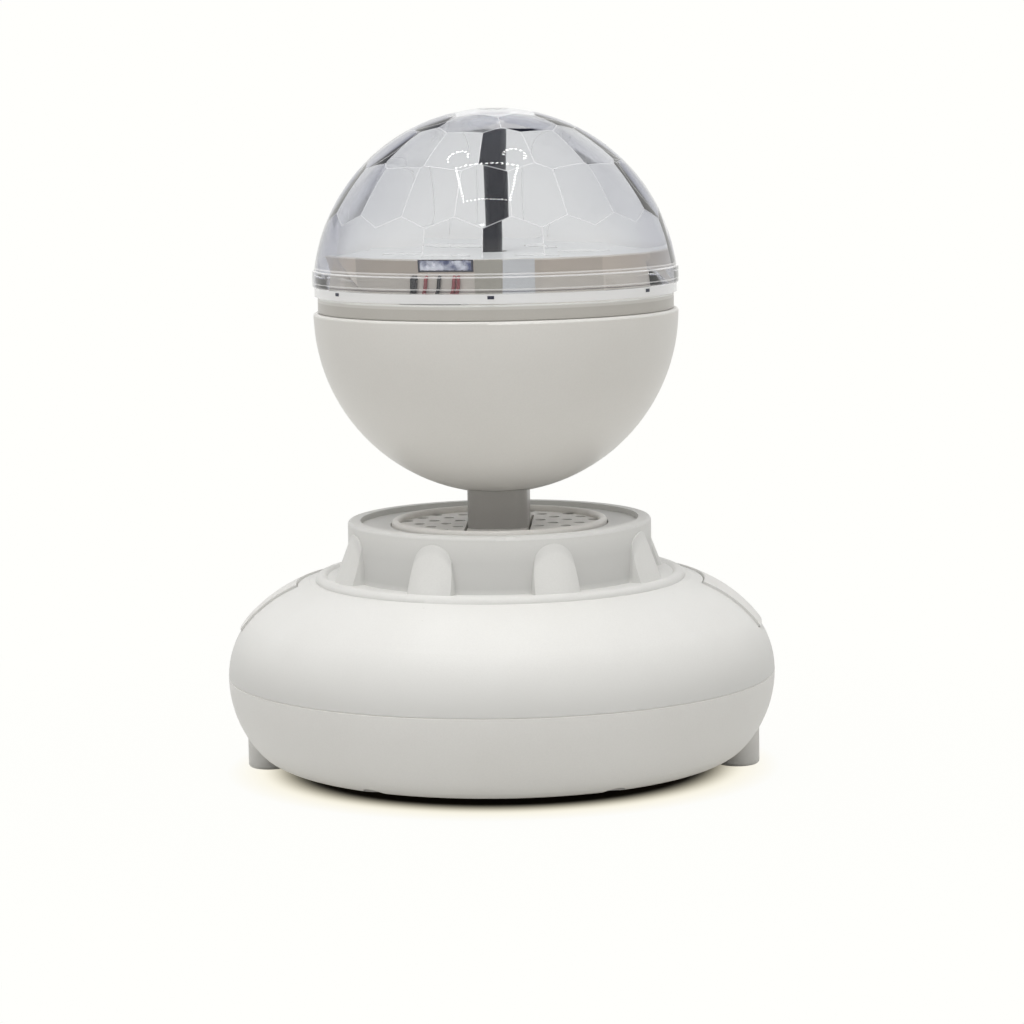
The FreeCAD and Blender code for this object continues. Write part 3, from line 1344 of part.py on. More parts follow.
def bowl_cover():
    plate_low = cover_top - d.cover_wall
    tongue = d.ball_radius - d.bowl_wall - d.play
    groove = cover_radius - d.cover_groove_depth
    bevel = d.rim_round / 2
    form = turned("CoverForm", [
        (d.cover_hole, plate_low),
        (tongue - d.bowl_wall * 0.7, plate_low),
        (tongue - d.bowl_wall * 0.7, cover_tongue),
        (tongue, cover_tongue),
        (tongue, bowl_rim),
        (groove, bowl_rim),
        (groove, bowl_rim + d.cover_groove),
        (cover_radius, bowl_rim + d.cover_groove),
        (cover_radius, cover_top - bevel),
        (cover_radius - bevel, cover_top),
        (d.cover_hole, cover_top),
    ])
    hanger_low = box_top + d.box_cover
    solids = []
    tools = []
    for x, y in hanger_places():
        solids.append(cylinder(d.hanger_radius, plate_low - hanger_low, x, y, hanger_low))
        tools.append(cylinder(d.hanger_screw, d.cover_wall * 2, x, y, hanger_low))
    for x, y in lamp_posts():
        solids.append(cylinder(d.lamp_post_radius, led_board_low - cover_top, x, y, cover_top))
        tools.append(cylinder(d.board_screw, d.board_thick, x, y, led_board_low - d.board_thick))
    for x, y in cover_screw_places():
        tools.append(cylinder(d.cover_screw, d.cover_wall, x, y, plate_low))
    tools.append(cylinder(d.lead_hole, d.cover_wall, lead_swing, ZERO, plate_low))
    keep(without(joined(form, *solids), *tools), "bowl_cover")


def led_places():
    places = []
    for index in range(int(d.led_count.number)):
        turn = FULL_TURN * index / d.led_count
        places.append((d.led_circle * cosine(turn), d.led_circle * sine(turn), turn))
    return places


def lamp():
    ceiling = lamp_top - d.lamp_wall
    edge = d.rim_round / 2
    form = turned("LampForm", [
        (d.lamp_hole, ceiling),
        (lamp_radius - d.lamp_wall, ceiling),
        (lamp_radius - d.lamp_wall, cover_top),
        (lamp_radius, cover_top),
        (lamp_radius, lamp_top - edge),
        (lamp_radius - edge, lamp_top),
        (d.lamp_hole, lamp_top),
    ])
    tools = [cylinder(d.lens_radius + d.fit_gap, d.lamp_wall, x, y, ceiling) for x, y, turn in led_places()]
    reach = lamp_radius - d.lamp_wall * 2
    lean = Rotation(Vector(0, 0, 1), -d.wire_start.number).multiply(Rotation(Vector(1, 0, 0), 90))
    gate = cylinder(d.wire_gate, d.lamp_wall * 3, -reach * sine(d.wire_start),
                    -reach * cosine(d.wire_start), cover_top, lean)
    keep(without(form, gate, *tools), "lamp_housing")
    board_top = led_board_low + d.board_thick
    board = cylinder(led_board_radius, d.board_thick, ZERO, ZERO, led_board_low)
    bores = [cylinder(d.cover_hole, d.board_thick, ZERO, ZERO, led_board_low)]
    for x, y in lamp_posts():
        bores.append(cylinder(d.board_screw, d.board_thick, x, y, led_board_low))
    keep(without(board, *bores), "led_board")
    lights = []
    lenses = []
    for x, y, turn in led_places():
        lights.append(block(d.led_side, d.led_side, d.led_height, x, y, board_top))
        height = lamp_top + d.lens_proud - board_top - d.led_height
        flange = ceiling - board_top - d.led_height
        lens = turned("Lens", [
            (ZERO, ZERO),
            (d.lens_flange, ZERO),
            (d.lens_flange, flange),
            (d.lens_radius, flange),
            (d.lens_radius, height - d.lens_proud),
            (d.lens_radius - d.lens_proud, height),
            (ZERO, height),
        ])
        lenses.append(put(lens, x, y, board_top + d.led_height))
    keep(together(*lights), "leds")
    keep(together(*lenses), "led_lenses")
    for number, label in enumerate(("black_lead", "red_lead")):
        wire = doc.addObject("Part::Torus", "Wire")
        bind(wire, "Radius1", lamp_radius + d.wire_radius)
        bind(wire, "Radius2", d.wire_radius)
        bind(wire, "Angle3", d.wire_span - d.wire_span * number * 0.4)
        turn = -90 - d.wire_start.number - d.wire_span.number * (1 - number * 0.3)
        put(wire, ZERO, ZERO, cover_top + d.wire_radius + d.wire_radius * 2 * number,
            Rotation(Vector(0, 0, 1), turn))
        keep(wire, label)


def racetrack(radius, height, z):
    """A block with round ends over the output shaft and the motor's shaft."""
    ends = [cylinder(radius, height, x, ZERO, z) for x in (ZERO, -shaft_gap)]
    return joined(block(shaft_gap, radius * 2, height, -shaft_gap / 2, ZERO, z), *ends)


def gearbox():
    tray = racetrack(box_radius, box_top - box_floor, box_floor)
    hollow = racetrack(box_radius - d.box_wall, box_top - box_floor, box_floor + d.box_wall)
    floor_top = box_floor + d.box_wall
    seat = cylinder(d.shaft_radius * 2, first_level - d.play - floor_top, ZERO, ZERO, floor_top)
    ears = []
    bores = []
    for x, y in hanger_places():
        ear = cylinder(d.hanger_radius, d.ear_height, x, y, box_top - d.ear_height)
        ears.append(ear)
        bores.append(cylinder(d.hanger_screw, d.ear_height, x, y, box_top - d.ear_height))
    ring = without(joined(tray, *ears), hollow)
    bores.append(cylinder(d.shaft_radius + d.run_gap, box_top - box_floor, ZERO, ZERO, box_floor))
    bores.append(cylinder(d.motor_boss + d.screw_clear, d.box_wall, -shaft_gap, ZERO, box_floor))
    keep(without(joined(ring, seat), *bores), "gearbox_base")
    lid = racetrack(box_radius, d.box_cover, box_top)
    lugs = [cylinder(d.hanger_radius, d.box_cover, x, y, box_top) for x, y in hanger_places()]
    holes = [cylinder(d.hanger_screw, d.box_cover, x, y, box_top) for x, y in hanger_places()]
    holes.append(cylinder(d.shaft_radius + d.run_gap, d.box_cover, ZERO, ZERO, box_top))
    holes.append(cylinder(d.pin_radius, d.box_cover, -shaft_gap, ZERO, box_top))
    keep(without(joined(lid, *lugs), *holes), "gearbox_cover")
    pin_low = second_level() - d.play / 2
    pin = cylinder(d.pin_radius, box_top + d.box_cover - pin_low, -shaft_gap, ZERO, pin_low)
    keep(pin, "idler_pin")


def second_level():
    return first_level + d.level_step


def third_level():
    return second_level() + d.level_step


def motor():
    can = cylinder(d.motor_radius, box_floor - motor_low - d.motor_cap, -shaft_gap, ZERO,
                   motor_low + d.motor_cap)
    cap = cylinder(d.motor_radius - d.run_gap, d.motor_cap, -shaft_gap, ZERO, motor_low)
    boss = cylinder(d.motor_boss, d.box_wall, -shaft_gap, ZERO, box_floor)
    shaft_low = box_floor - d.box_wall * 2
    bore = cylinder(d.motor_shaft + d.run_gap, d.box_wall * 4, -shaft_gap, ZERO, shaft_low - d.run_gap)
    keep(without(joined(can, cap, boss), bore), "motor_can")
    top = second_level() - d.play * 2
    shaft = cylinder(d.motor_shaft, top - shaft_low, -shaft_gap, ZERO, shaft_low)
    keep(shaft, "motor_shaft")


def gear_outline(teeth):
    """Corner points of a gear with rounded involute flanks; a tooth looks along +X."""
    module = d.tooth_module.number
    pitch = module * teeth / 2
    base = pitch * math.cos(math.radians(20))
    root = pitch - module * 5 / 4
    tip = pitch + module
    half_tooth = math.pi / (2 * teeth) - d.tooth_slack.number / pitch
    steps = [root, max(root, base) + module / 8, pitch, (pitch + tip) / 2, tip]
    flank = []
    for radius in steps:
        lean = math.acos(min(1.0, base / radius))
        at_pitch = math.radians(20)
        spread = math.tan(at_pitch) - at_pitch - math.tan(lean) + lean
        flank.append((radius, half_tooth + spread))
    points = []
    for tooth in range(teeth):
        middle = 2 * math.pi * tooth / teeth
        points += [(radius, middle - half) for radius, half in flank]
        points += [(radius, middle + half) for radius, half in reversed(flank)]
    return [Vector(radius * math.cos(angle), radius * math.sin(angle), 0) for radius, angle in points]


def gear(teeth, height, shift, x, z):
    """A toothed disc; with shift the gap instead of the tooth looks along +X."""
    corners = gear_outline(teeth)
    outline = Part.Face(Part.makePolygon(corners + corners[:1]))
    wheel = doc.addObject("Part::Feature", "Gear")
    wheel.Shape = outline.extrude(Vector(0, 0, height.number))
    half_step = 180 / teeth if shift else 0
    return put(wheel, x, ZERO, z, Rotation(Vector(0, 0, 1), half_step))


def gears():
    wheel_teeth = int(d.wheel_teeth.number)
    pinion_teeth = int(d.pinion_teeth.number)
    thick = d.gear_thick
    small = thick + d.play * 3
    run = d.shaft_radius + d.run_gap
    pinion = gear(pinion_teeth, thick, True, -shaft_gap, first_level)
    bore = cylinder(d.motor_shaft, thick, -shaft_gap, ZERO, first_level)
    keep(without(pinion, bore), "motor_pinion")
    big = gear(wheel_teeth, thick, False, ZERO, first_level)
    little = gear(pinion_teeth, small + d.play, True, ZERO, first_level + thick)
    bore = cylinder(run, thick * 3, ZERO, ZERO, first_level)
    keep(without(joined(big, little), bore), "first_gear")
    big = gear(wheel_teeth, thick, False, -shaft_gap, second_level())
    little = gear(pinion_teeth, small, True, -shaft_gap, second_level() + thick)
    bore = cylinder(d.pin_radius + d.run_gap, thick * 3, -shaft_gap, ZERO, second_level())
    keep(without(joined(big, little), bore), "second_gear")
    output = gear(wheel_teeth, thick, False, ZERO, third_level())
    bore = cylinder(d.shaft_radius, thick, ZERO, ZERO, third_level())
    keep(without(output, bore), "output_gear")


def drive():
    rod = cylinder(d.shaft_radius, post_foot + d.post_grip - shaft_low, ZERO, ZERO, shaft_low)
    keep(rod, "output_shaft")
    post = turned("Post", [
        (d.shaft_radius, post_foot),
        (d.post_body, post_foot),
        (d.post_body, post_neck),
        (d.post_head, post_neck),
        (d.post_head, post_top),
        (d.apex_screw, post_top),
        (d.apex_screw, post_neck),
        (ZERO, post_neck),
        (ZERO, post_foot + d.post_grip),
        (d.shaft_radius, post_foot + d.post_grip),
    ])
    keep(post, "drive_post")


def clip(faces, normal, distance):
    """Cut a convex solid, given as loops of points, with a plane and close the cut."""
    sliver = d.run_gap.number / 100
    left = []
    rim = []
    for loop in faces:
        heights = [normal.dot(point) - distance for point in loop]
        heights = [0.0 if abs(height) < sliver else height for height in heights]
        kept_loop = []
        for index, point in enumerate(loop):
            following = loop[(index + 1) % len(loop)]
            here = heights[index]
            there = heights[(index + 1) % len(loop)]
            if here <= 0:
                kept_loop.append(point)
            if here == 0:
                rim.append(point)
            if here * there < 0:
                cut = point + (following - point) * (here / (here - there))
                kept_loop.append(cut)
                rim.append(cut)
        if len(kept_loop) > 2 and min(heights) < 0:
            left.append(kept_loop)
    lid = []
    for point in rim:
        if all(point.distanceToPoint(other) > sliver for other in lid):
            lid.append(point)
    if len(lid) < 3:
        return left
    middle = sum(lid, Vector()) * (1 / len(lid))
    across = (lid[0] - middle).normalize()
    aside = normal.cross(across)
    lid.sort(key=lambda point: math.atan2((point - middle).dot(aside), (point - middle).dot(across)))
    return left + [lid]


def facet_planes():
    """Normals of the flat facets inside the dome, row by row from its foot."""
    normals = []
    turn = d.facet_turn.number
    for row, lift in enumerate(ROW_LIFT_SHARES):
        cells = round(d.tab_count.number * ROW_COUNT_SHARES[row])
        up = math.radians(90 * lift)
        for cell in range(cells):
            swing = math.radians(turn + 360 * (cell + (row % 2) / 2) / cells - 90)
            level = Vector(math.cos(swing), math.sin(swing), 0)
            normals.append(level * math.cos(up) + Vector(0, 0, math.sin(up)))
    return normals


def facet_core():
    """The solid whose flat sides are the facets: the room inside the dome."""
    far = d.ball_radius.number
    low = clear_ring_low.number - dome_centre.number - d.overrun.number
    corners = [Vector(x, y, z) for z in (low, far) for y in (-far, far) for x in (-far, far)]
    sides = [(0, 2, 3, 1), (4, 5, 7, 6), (0, 1, 5, 4), (2, 6, 7, 3), (0, 4, 6, 2), (1, 3, 7, 5)]
    faces = [[corners[number] for number in side] for side in sides]
    for normal in facet_planes() + [Vector(0, 0, 1)]:
        faces = clip(faces, normal, facet_distance.number)
    skins = [Part.Face(Part.makePolygon(loop + loop[:1])) for loop in faces]
    shell = Part.makeShell(skins)
    shell.sewShape()
    core = doc.addObject("Part::Feature", "FacetCore")
    solid = Part.makeSolid(shell)
    if solid.Volume < 0:
        solid.reverse()
    core.Shape = solid
    return put(core, ZERO, ZERO, dome_centre)


def dome():
    top = dome_centre + d.ball_radius
    seat = top - d.cap_thick - d.cap_sink
    recess = seat - d.apex_head_height - d.play
    form = turned("DomeForm", [
        (ZERO, dome_foot),
        (dome_band, dome_foot),
        (dome_band, dome_ledge),
        (other_leg(d.ball_radius, dome_ledge - dome_centre), dome_ledge),
        (ZERO, top, ZERO, dome_centre, "left"),
    ])
    boss = cylinder(d.dome_boss, seat - post_top, ZERO, ZERO, post_top)
    tools = [
        cylinder(d.cap_radius + d.fit_gap, d.cap_thick * 2, ZERO, ZERO, seat),
        cylinder(d.apex_head + d.fit_gap, d.apex_head_height * 2, ZERO, ZERO, recess),
        cylinder(d.apex_screw + d.screw_clear, recess - post_top, ZERO, ZERO, post_top),
    ]
    keep(without(joined(without(form, facet_core()), boss), *tools), "crystal_dome")
    cap = turned("ApexCap", [
        (ZERO, seat),
        (d.cap_radius, seat),
        (d.cap_radius, seat + d.cap_thick / 2),
        (d.cap_radius - d.cap_thick / 2, seat + d.cap_thick),
        (ZERO, seat + d.cap_thick),
    ])
    keep(cap, "apex_cap")
    fixing = screw(d.apex_screw, d.apex_head, d.apex_head_height, d.apex_grip, ZERO, ZERO, recess, 1)
    keep(fixing, "apex_screw")
    ring = turned("ClearRing", [
        (clear_ring_inner, clear_ring_low),
        (clear_ring_radius, clear_ring_low),
        (clear_ring_radius, dome_foot),
        (clear_ring_inner, dome_foot),
    ])
    tabs = []
    for index in range(int(d.tab_count.number)):
        turn = d.tab_turn + FULL_TURN * index / d.tab_count
        reach = clear_ring_inner - d.tab_depth / 2
        tab = raised("Tab", [
            (-d.tab_width / 2, -d.tab_depth),
            (d.tab_width / 2, -d.tab_depth),
            (d.tab_width / 2, d.tab_depth),
            (-d.tab_width / 2, d.tab_depth),
        ], "XY_Plane", (dome_foot - clear_ring_low) / 2)
        tabs.append(put(tab, reach * sine(turn), -reach * cosine(turn),
                        (dome_foot + clear_ring_low) / 2, Rotation(Vector(0, 0, 1), turn.number)))
    keep(joined(ring, *tabs), "dome_ring")


def ball_lead():
    """The lead from the main board through the stem to the LED board, as rods and round elbows."""
    stops = [
        (lead_swing, ZERO, led_board_low),
        (lead_swing, ZERO, lead_bend_high),
        (ZERO, ZERO, lead_bend_stem),
        (ZERO, ZERO, lead_bend_low),
        (ZERO, lead_drop, lead_bend_low),
        (ZERO, lead_drop, board_face()),
    ]
    pieces = []
    for start, stop in zip(stops, stops[1:]):
        run = vector(*stop) - vector(*start)
        along = start[0] - stop[0]
        aside = start[1] - stop[1]
        up = start[2] - stop[2]
        length = root(along * along + aside * aside + up * up)
        turn = Rotation(Vector(0, 0, 1), run)
        pieces.append(cylinder(d.lead_radius, length, start[0], start[1], start[2], turn))
    for stop in stops[1:-1]:
        elbow = doc.addObject("Part::Sphere", "Elbow")
        bind(elbow, "Radius", d.lead_radius)
        pieces.append(put(elbow, *stop))
    keep(joined(*pieces), "ball_lead")


upper_shell()
lower_shell()
feet()
case_screws()
control_panel()
buttons()
main_board()
inner_screws()
sockets()
battery()
grille()
bridge()
speaker()
stem()
bowl()
bowl_cover()
ball_screws()
lamp()
gearbox()
motor()
gears()
drive()
dome()
ball_lead()

doc.recompute()
for item in doc.Objects:
    broken = [word for word in item.State if word in ("Invalid", "Error")]
    if broken:
        raise RuntimeError("%s (%s) is %s" % (item.Label, item.Name, broken))
for thing in kept:
    if thing.Shape.isNull() or not thing.Shape.isValid() or not thing.Shape.Solids:
        raise RuntimeError("%s has no valid solid" % thing.Label)

os.makedirs("parts", exist_ok=True)
for thing in kept:
    thing.Shape.exportStep("parts/%s.step" % thing.Label)
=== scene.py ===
"""The ball light: a speaker base, a short stem and a ball with a turning faceted dome."""

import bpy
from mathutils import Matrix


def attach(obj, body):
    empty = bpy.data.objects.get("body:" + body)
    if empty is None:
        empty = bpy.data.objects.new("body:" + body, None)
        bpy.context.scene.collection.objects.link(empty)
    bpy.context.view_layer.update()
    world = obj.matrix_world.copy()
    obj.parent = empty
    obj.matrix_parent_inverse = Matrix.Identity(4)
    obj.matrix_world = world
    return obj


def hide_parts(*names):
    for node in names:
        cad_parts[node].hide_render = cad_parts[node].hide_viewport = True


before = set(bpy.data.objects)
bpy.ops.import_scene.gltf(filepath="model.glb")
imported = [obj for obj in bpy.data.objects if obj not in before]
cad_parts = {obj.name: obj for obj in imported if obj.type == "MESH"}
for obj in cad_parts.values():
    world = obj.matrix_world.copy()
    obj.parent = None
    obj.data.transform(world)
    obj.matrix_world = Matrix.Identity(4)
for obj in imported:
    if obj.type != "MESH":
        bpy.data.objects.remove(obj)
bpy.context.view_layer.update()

import math

import bpy
import bmesh
from mathutils import Vector


# Upper shell.
# The base's upper half: shoulder, ledge with its bead, eight buttresses and the neck that holds the
# speaker. One injection moulding in pale grey ABS, finely textured; it snaps and screws to the
# lower half.

def add_node(tree, kind, values=None, **settings):
    """Place a node; values set its sockets, or link them where a socket is given."""
    made = tree.nodes.new(kind)
    for name, value in settings.items():
        setattr(made, name, value)
    for socket, value in (values or {}).items():
        if isinstance(value, bpy.types.NodeSocket):
            tree.links.new(value, made.inputs[socket])
        else:
            made.inputs[socket].default_value = value
    return made


def new_group(name, inputs, outputs):
    """An empty shader node group with its entry and exit."""
    tree = bpy.data.node_groups.new(name, "ShaderNodeTree")
    for label, kind, start in inputs:
        socket = tree.interface.new_socket(label, in_out="INPUT", socket_type=kind)
        socket.default_value = start
    for label, kind in outputs:
        tree.interface.new_socket(label, in_out="OUTPUT", socket_type=kind)
    entry = tree.nodes.new("NodeGroupInput")
    leave = tree.nodes.new("NodeGroupOutput")
    return tree, entry.outputs, leave.inputs


def blend_colour(tree, amount, first, second, mode="MIX"):
    """Mix two colours; each value is a plain one or a socket."""
    return add_node(tree, "ShaderNodeMix", {0: amount, 6: first, 7: second}, data_type="RGBA",
                    blend_type=mode).outputs[2]


def calculate(tree, sort, first, second=0.0):
    """One sum on numbers or sockets."""
    return add_node(tree, "ShaderNodeMath", {0: first, 1: second}, operation=sort).outputs[0]


def spread(tree, value, low, high, to_low, to_high, curve="LINEAR"):
    """Map a value from one range to another, held at both ends."""
    return add_node(tree, "ShaderNodeMapRange", {0: value, 1: low, 2: high, 3: to_low, 4: to_high},
                    interpolation_type=curve).outputs[0]


def place_in(tree):
    """The point of the object, in metres."""
    return add_node(tree, "ShaderNodeTexCoord").outputs["Object"]


def upward(tree, vector):
    """The part of a vector that points up."""
    return add_node(tree, "ShaderNodeSeparateXYZ", {0: vector}).outputs["Z"]


def noise(tree, where, scale, detail, broken=0.5):
    """Soft noise, its scale in patches per metre."""
    return add_node(tree, "ShaderNodeTexNoise", {"Vector": where, "Scale": scale, "Detail": detail,
                                                 "Roughness": broken}).outputs[0]


def scattered_dots(tree, where, scale, inner, outer, share):
    """Round dots in a share of the cells of a random pattern."""
    cells = add_node(tree, "ShaderNodeTexVoronoi", {"Vector": where, "Scale": scale}).outputs
    dots = spread(tree, cells["Distance"], inner, outer, 1.0, 0.0)
    choose = add_node(tree, "ShaderNodeSeparateColor", {0: cells["Color"]}).outputs[0]
    return calculate(tree, "MULTIPLY", dots, calculate(tree, "LESS_THAN", choose, share))


# Moulded grain: the fine texture of the tool and the slow cloudiness of the melt.
grain, put_in, put_out = new_group("moulded_grain", [
    ("Colour", "NodeSocketColor", (0.7, 0.7, 0.7, 1)),
    ("Cloud", "NodeSocketFloat", 0.04),
    ("Grain Size", "NodeSocketFloat", 0.0004),
    ("Smooth", "NodeSocketFloat", 0.4),
    ("Rough", "NodeSocketFloat", 0.5),
], [("Color", "NodeSocketColor"), ("Roughness", "NodeSocketFloat"), ("Height", "NodeSocketFloat")])
where = place_in(grain)
fine = noise(grain, where, calculate(grain, "DIVIDE", 1.0, put_in["Grain Size"]), 3.0, 0.6)
slow = noise(grain, where, 28.0, 4.0, 0.55)
darker = blend_colour(grain, 1.0, put_in["Colour"], (0.78, 0.76, 0.73, 1), "MULTIPLY")
amount = calculate(grain, "MULTIPLY", spread(grain, slow, 0.35, 0.7, 0.0, 1.0),
                   calculate(grain, "MULTIPLY", put_in["Cloud"], 5.0))
tinted = blend_colour(grain, amount, put_in["Colour"], darker)
speck = spread(grain, fine, 0.3, 0.7, -0.5, 0.5)
tone = calculate(grain, "ADD", 1.0, calculate(grain, "MULTIPLY", speck, put_in["Cloud"]))
toned = add_node(grain, "ShaderNodeHueSaturation", {"Color": tinted, "Value": tone}).outputs[0]
grain.links.new(toned, put_out["Color"])
grain.links.new(spread(grain, fine, 0.3, 0.7, put_in["Smooth"], put_in["Rough"]), put_out["Roughness"])
grain.links.new(fine, put_out["Height"])

# Settled dust: lies on what looks up, in loose specks and a thin film.
DUST_GREY = (0.46, 0.44, 0.41, 1)
dust, put_in, put_out = new_group("settled_dust", [
    ("Colour", "NodeSocketColor", (0.7, 0.7, 0.7, 1)),
    ("Film", "NodeSocketFloat", 0.03),
    ("Specks", "NodeSocketFloat", 0.2),
], [("Color", "NodeSocketColor"), ("Mask", "NodeSocketFloat")])
where = place_in(dust)
facing = add_node(dust, "ShaderNodeNewGeometry").outputs["Normal"]
level = spread(dust, upward(dust, facing), 0.25, 0.95, 0.0, 1.0)
film = calculate(dust, "MULTIPLY", calculate(dust, "MULTIPLY", level, put_in["Film"]),
                 spread(dust, noise(dust, where, 120.0, 5.0), 0.3, 0.75, 0.2, 1.0))
specks = calculate(dust, "MULTIPLY", scattered_dots(dust, where, 420.0, 0.05, 0.13, 0.06),
                   calculate(dust, "MULTIPLY", level, put_in["Specks"]))
mask = calculate(dust, "MAXIMUM", film, specks)
dust.links.new(blend_colour(dust, mask, put_in["Colour"], DUST_GREY), put_out["Color"])
dust.links.new(mask, put_out["Mask"])


def new_material(name):
    """A material with its node tree and its shader."""
    made = bpy.data.materials.new(name)
    made.use_nodes = True
    return made, made.node_tree, made.node_tree.nodes["Principled BSDF"]


def place_grain(tree, colour, cloud, size, smooth, rough):
    """Place the grain in a material with its own values."""
    return add_node(tree, "ShaderNodeGroup", {"Colour": colour, "Cloud": cloud, "Grain Size": size,
                                              "Smooth": smooth, "Rough": rough}, node_tree=grain).outputs


def moulded(name, colour, cloud=0.03, size=0.0004, smooth=0.42, rough=0.52, relief=0.00002,
            film=0.05, specks=0.25):
    """A moulded plastic: grain under settled dust."""
    made, tree, skin = new_material(name)
    base = place_grain(tree, colour + (1,), cloud, size, smooth, rough)
    over = add_node(tree, "ShaderNodeGroup", {"Colour": base["Color"], "Film": film, "Specks": specks},
                    node_tree=dust).outputs
    tree.links.new(over["Color"], skin.inputs["Base Color"])
    dull = calculate(tree, "ADD", base["Roughness"], calculate(tree, "MULTIPLY", over["Mask"], 0.3))
    tree.links.new(dull, skin.inputs["Roughness"])
    bump = add_node(tree, "ShaderNodeBump", {"Height": base["Height"], "Distance": relief,
                                             "Strength": 1.0})
    tree.links.new(bump.outputs[0], skin.inputs["Normal"])
    skin.inputs["Specular IOR Level"].default_value = 0.4
    return made


def open_up(material):
    """A finished material's tree, its shader and the colour that reaches it."""
    skin = material.node_tree.nodes["Principled BSDF"]
    return material.node_tree, skin, skin.inputs["Base Color"].links[0].from_socket


def finish(material, *names):
    """Give CAD nodes their material."""
    for name in names:
        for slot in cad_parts[name].material_slots:
            slot.material = material


shell_plastic = moulded("shell_plastic", (0.76, 0.76, 0.742))

# painted shade: the wall under the ball, where the ball's shadow falls, and the shoulder just over the seam
# are painted a faint grey; the film values and masks below hold this painted shade
SEAM_HEIGHT = 0.0215
SEAM_SHADE_TOP = 0.034
WALL_RADII = (0.0340, 0.0346)
WALL_SHADE_FOOT = (0.0435, 0.0445)
WALL_SHADE_TOP = (0.0500, 0.0540)
SHADE_GREY = (0.645, 0.645, 0.63, 1)
tree, skin, plain = open_up(shell_plastic)
where = place_in(tree)
height = upward(tree, where)
flat = add_node(tree, "ShaderNodeVectorMath", {0: where, 1: (1.0, 1.0, 0.0)}, operation="MULTIPLY")
reach = add_node(tree, "ShaderNodeVectorMath", {0: flat.outputs[0]}, operation="LENGTH")
low_shade = spread(tree, height, SEAM_HEIGHT, SEAM_SHADE_TOP, 1.0, 0.0)
wall_shade = calculate(tree, "MULTIPLY", spread(tree, reach.outputs["Value"], *WALL_RADII, 1.0, 0.0),
                      calculate(tree, "MULTIPLY", spread(tree, height, *WALL_SHADE_FOOT, 0.0, 1.0),
                                spread(tree, height, *WALL_SHADE_TOP, 1.0, 0.2)))
# the painted shade's mask, a little broken by noise
painted_shade_mask = calculate(tree, "MULTIPLY", calculate(tree, "MAXIMUM", low_shade, wall_shade),
                      spread(tree, noise(tree, where, 60.0, 4.0), 0.3, 0.7, 0.85, 1.0))
tree.links.new(blend_colour(tree, painted_shade_mask, plain, SHADE_GREY), skin.inputs["Base Color"])
finish(shell_plastic, "upper_shell")


# Lower shell.
# The base's lower half, a shallow tray in the same grey plastic, with the openings for the
# sockets and the switch at its far side; four screws from below hold it.

under_plastic = moulded("under_plastic", (0.75, 0.745, 0.725), film=0.0, specks=0.0)
finish(under_plastic, "lower_shell", "battery_cradle", "button_carrier", "speaker_spacer")


def lathe(mesh, outline, steps, closed=False):
    """Turn an outline about Z; it starts and ends on the axis, or is closed."""
    rings = []
    for radius, height in outline:
        if radius == 0:
            rings.append([mesh.verts.new((0, 0, height))])
            continue
        rings.append([mesh.verts.new((radius * math.cos(2 * math.pi * step / steps),
                                      radius * math.sin(2 * math.pi * step / steps), height))
                      for step in range(steps)])
    for lower, upper in zip(rings, rings[1:] + rings[:1] if closed else rings[1:]):
        for step in range(steps):
            after = (step + 1) % steps
            corners = [lower[step % len(lower)], lower[after % len(lower)],
                       upper[after % len(upper)], upper[step % len(upper)]]
            mesh.faces.new(list(dict.fromkeys(corners)))


def new_piece(name, mesh, material, body, crease=None):
    """Make an object of a finished bmesh; it rides on a body. A crease is an angle in degrees."""
    bmesh.ops.recalc_face_normals(mesh, faces=mesh.faces)
    if crease:
        for face in mesh.faces:
            face.smooth = True
    data = bpy.data.meshes.new(name)
    mesh.to_mesh(data)
    mesh.free()
    if crease:
        data.set_sharp_from_angle(angle=math.radians(crease))
    data.materials.append(material)
    piece = bpy.data.objects.new(name, data)
    bpy.context.scene.collection.objects.link(piece)
    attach(piece, body)
    return piece


# painted highlight: the tongue of the tray's rim is painted paler than the shell, so it shows as a fine
# pale line in the seam where the edge catches the light: radius, height over the seam
TONGUE_OUTLINE = ((0.06000, 0.00001), (0.06047, 0.00001), (0.06048, 0.00006), (0.06024, 0.00029),
                  (0.06000, 0.00030))
tongue_highlight = moulded("tongue_highlight", (0.95, 0.94, 0.915), film=0.0, specks=0.0)
tongue = bmesh.new()
lathe(tongue, [(radius, SEAM_HEIGHT + rise) for radius, rise in TONGUE_OUTLINE], 360, closed=True)
tongue_ring = new_piece("seam_tongue", tongue, tongue_highlight, "base", crease=40)


# Feet.
# Two moulded posts at the sides and a rubber ring under the middle carry the light; the posts are
# pressed into sockets of the tray and the ring is glued into its seat.

foot_plastic = moulded("foot_plastic", (0.74, 0.735, 0.71), smooth=0.5, rough=0.62, film=0.0)
finish(foot_plastic, "side_feet")
foot_rubber = moulded("foot_rubber", (0.06, 0.06, 0.06), smooth=0.65, rough=0.8, film=0.0,
                      relief=0.00004)
finish(foot_rubber, "foot_ring", "speaker_surround")


# Control panel.
# A thin raised strip round the far half of the shoulder, glued into its seat, with five round
# keys; it is moulded from the same grey plastic as the shell.

panel_plastic = moulded("panel_plastic", (0.75, 0.745, 0.725), size=0.0003)
finish(panel_plastic, "control_panel")
key_plastic = moulded("key_plastic", (0.62, 0.615, 0.60), size=0.0003)
finish(key_plastic, *["push_button_%d" % (index + 1) for index in range(5)])


# Electronics.
# A green circuit board with its parts, the sockets and the slide switch at its far edge, a
# sleeved cell in front of it, and the small switches under the keys.

black_plastic = moulded("black_plastic", (0.02, 0.02, 0.022), size=0.0003, film=0.0)
finish(black_plastic, "board_parts", "tact_switches", "switch_knob", "ball_lead", "black_lead")

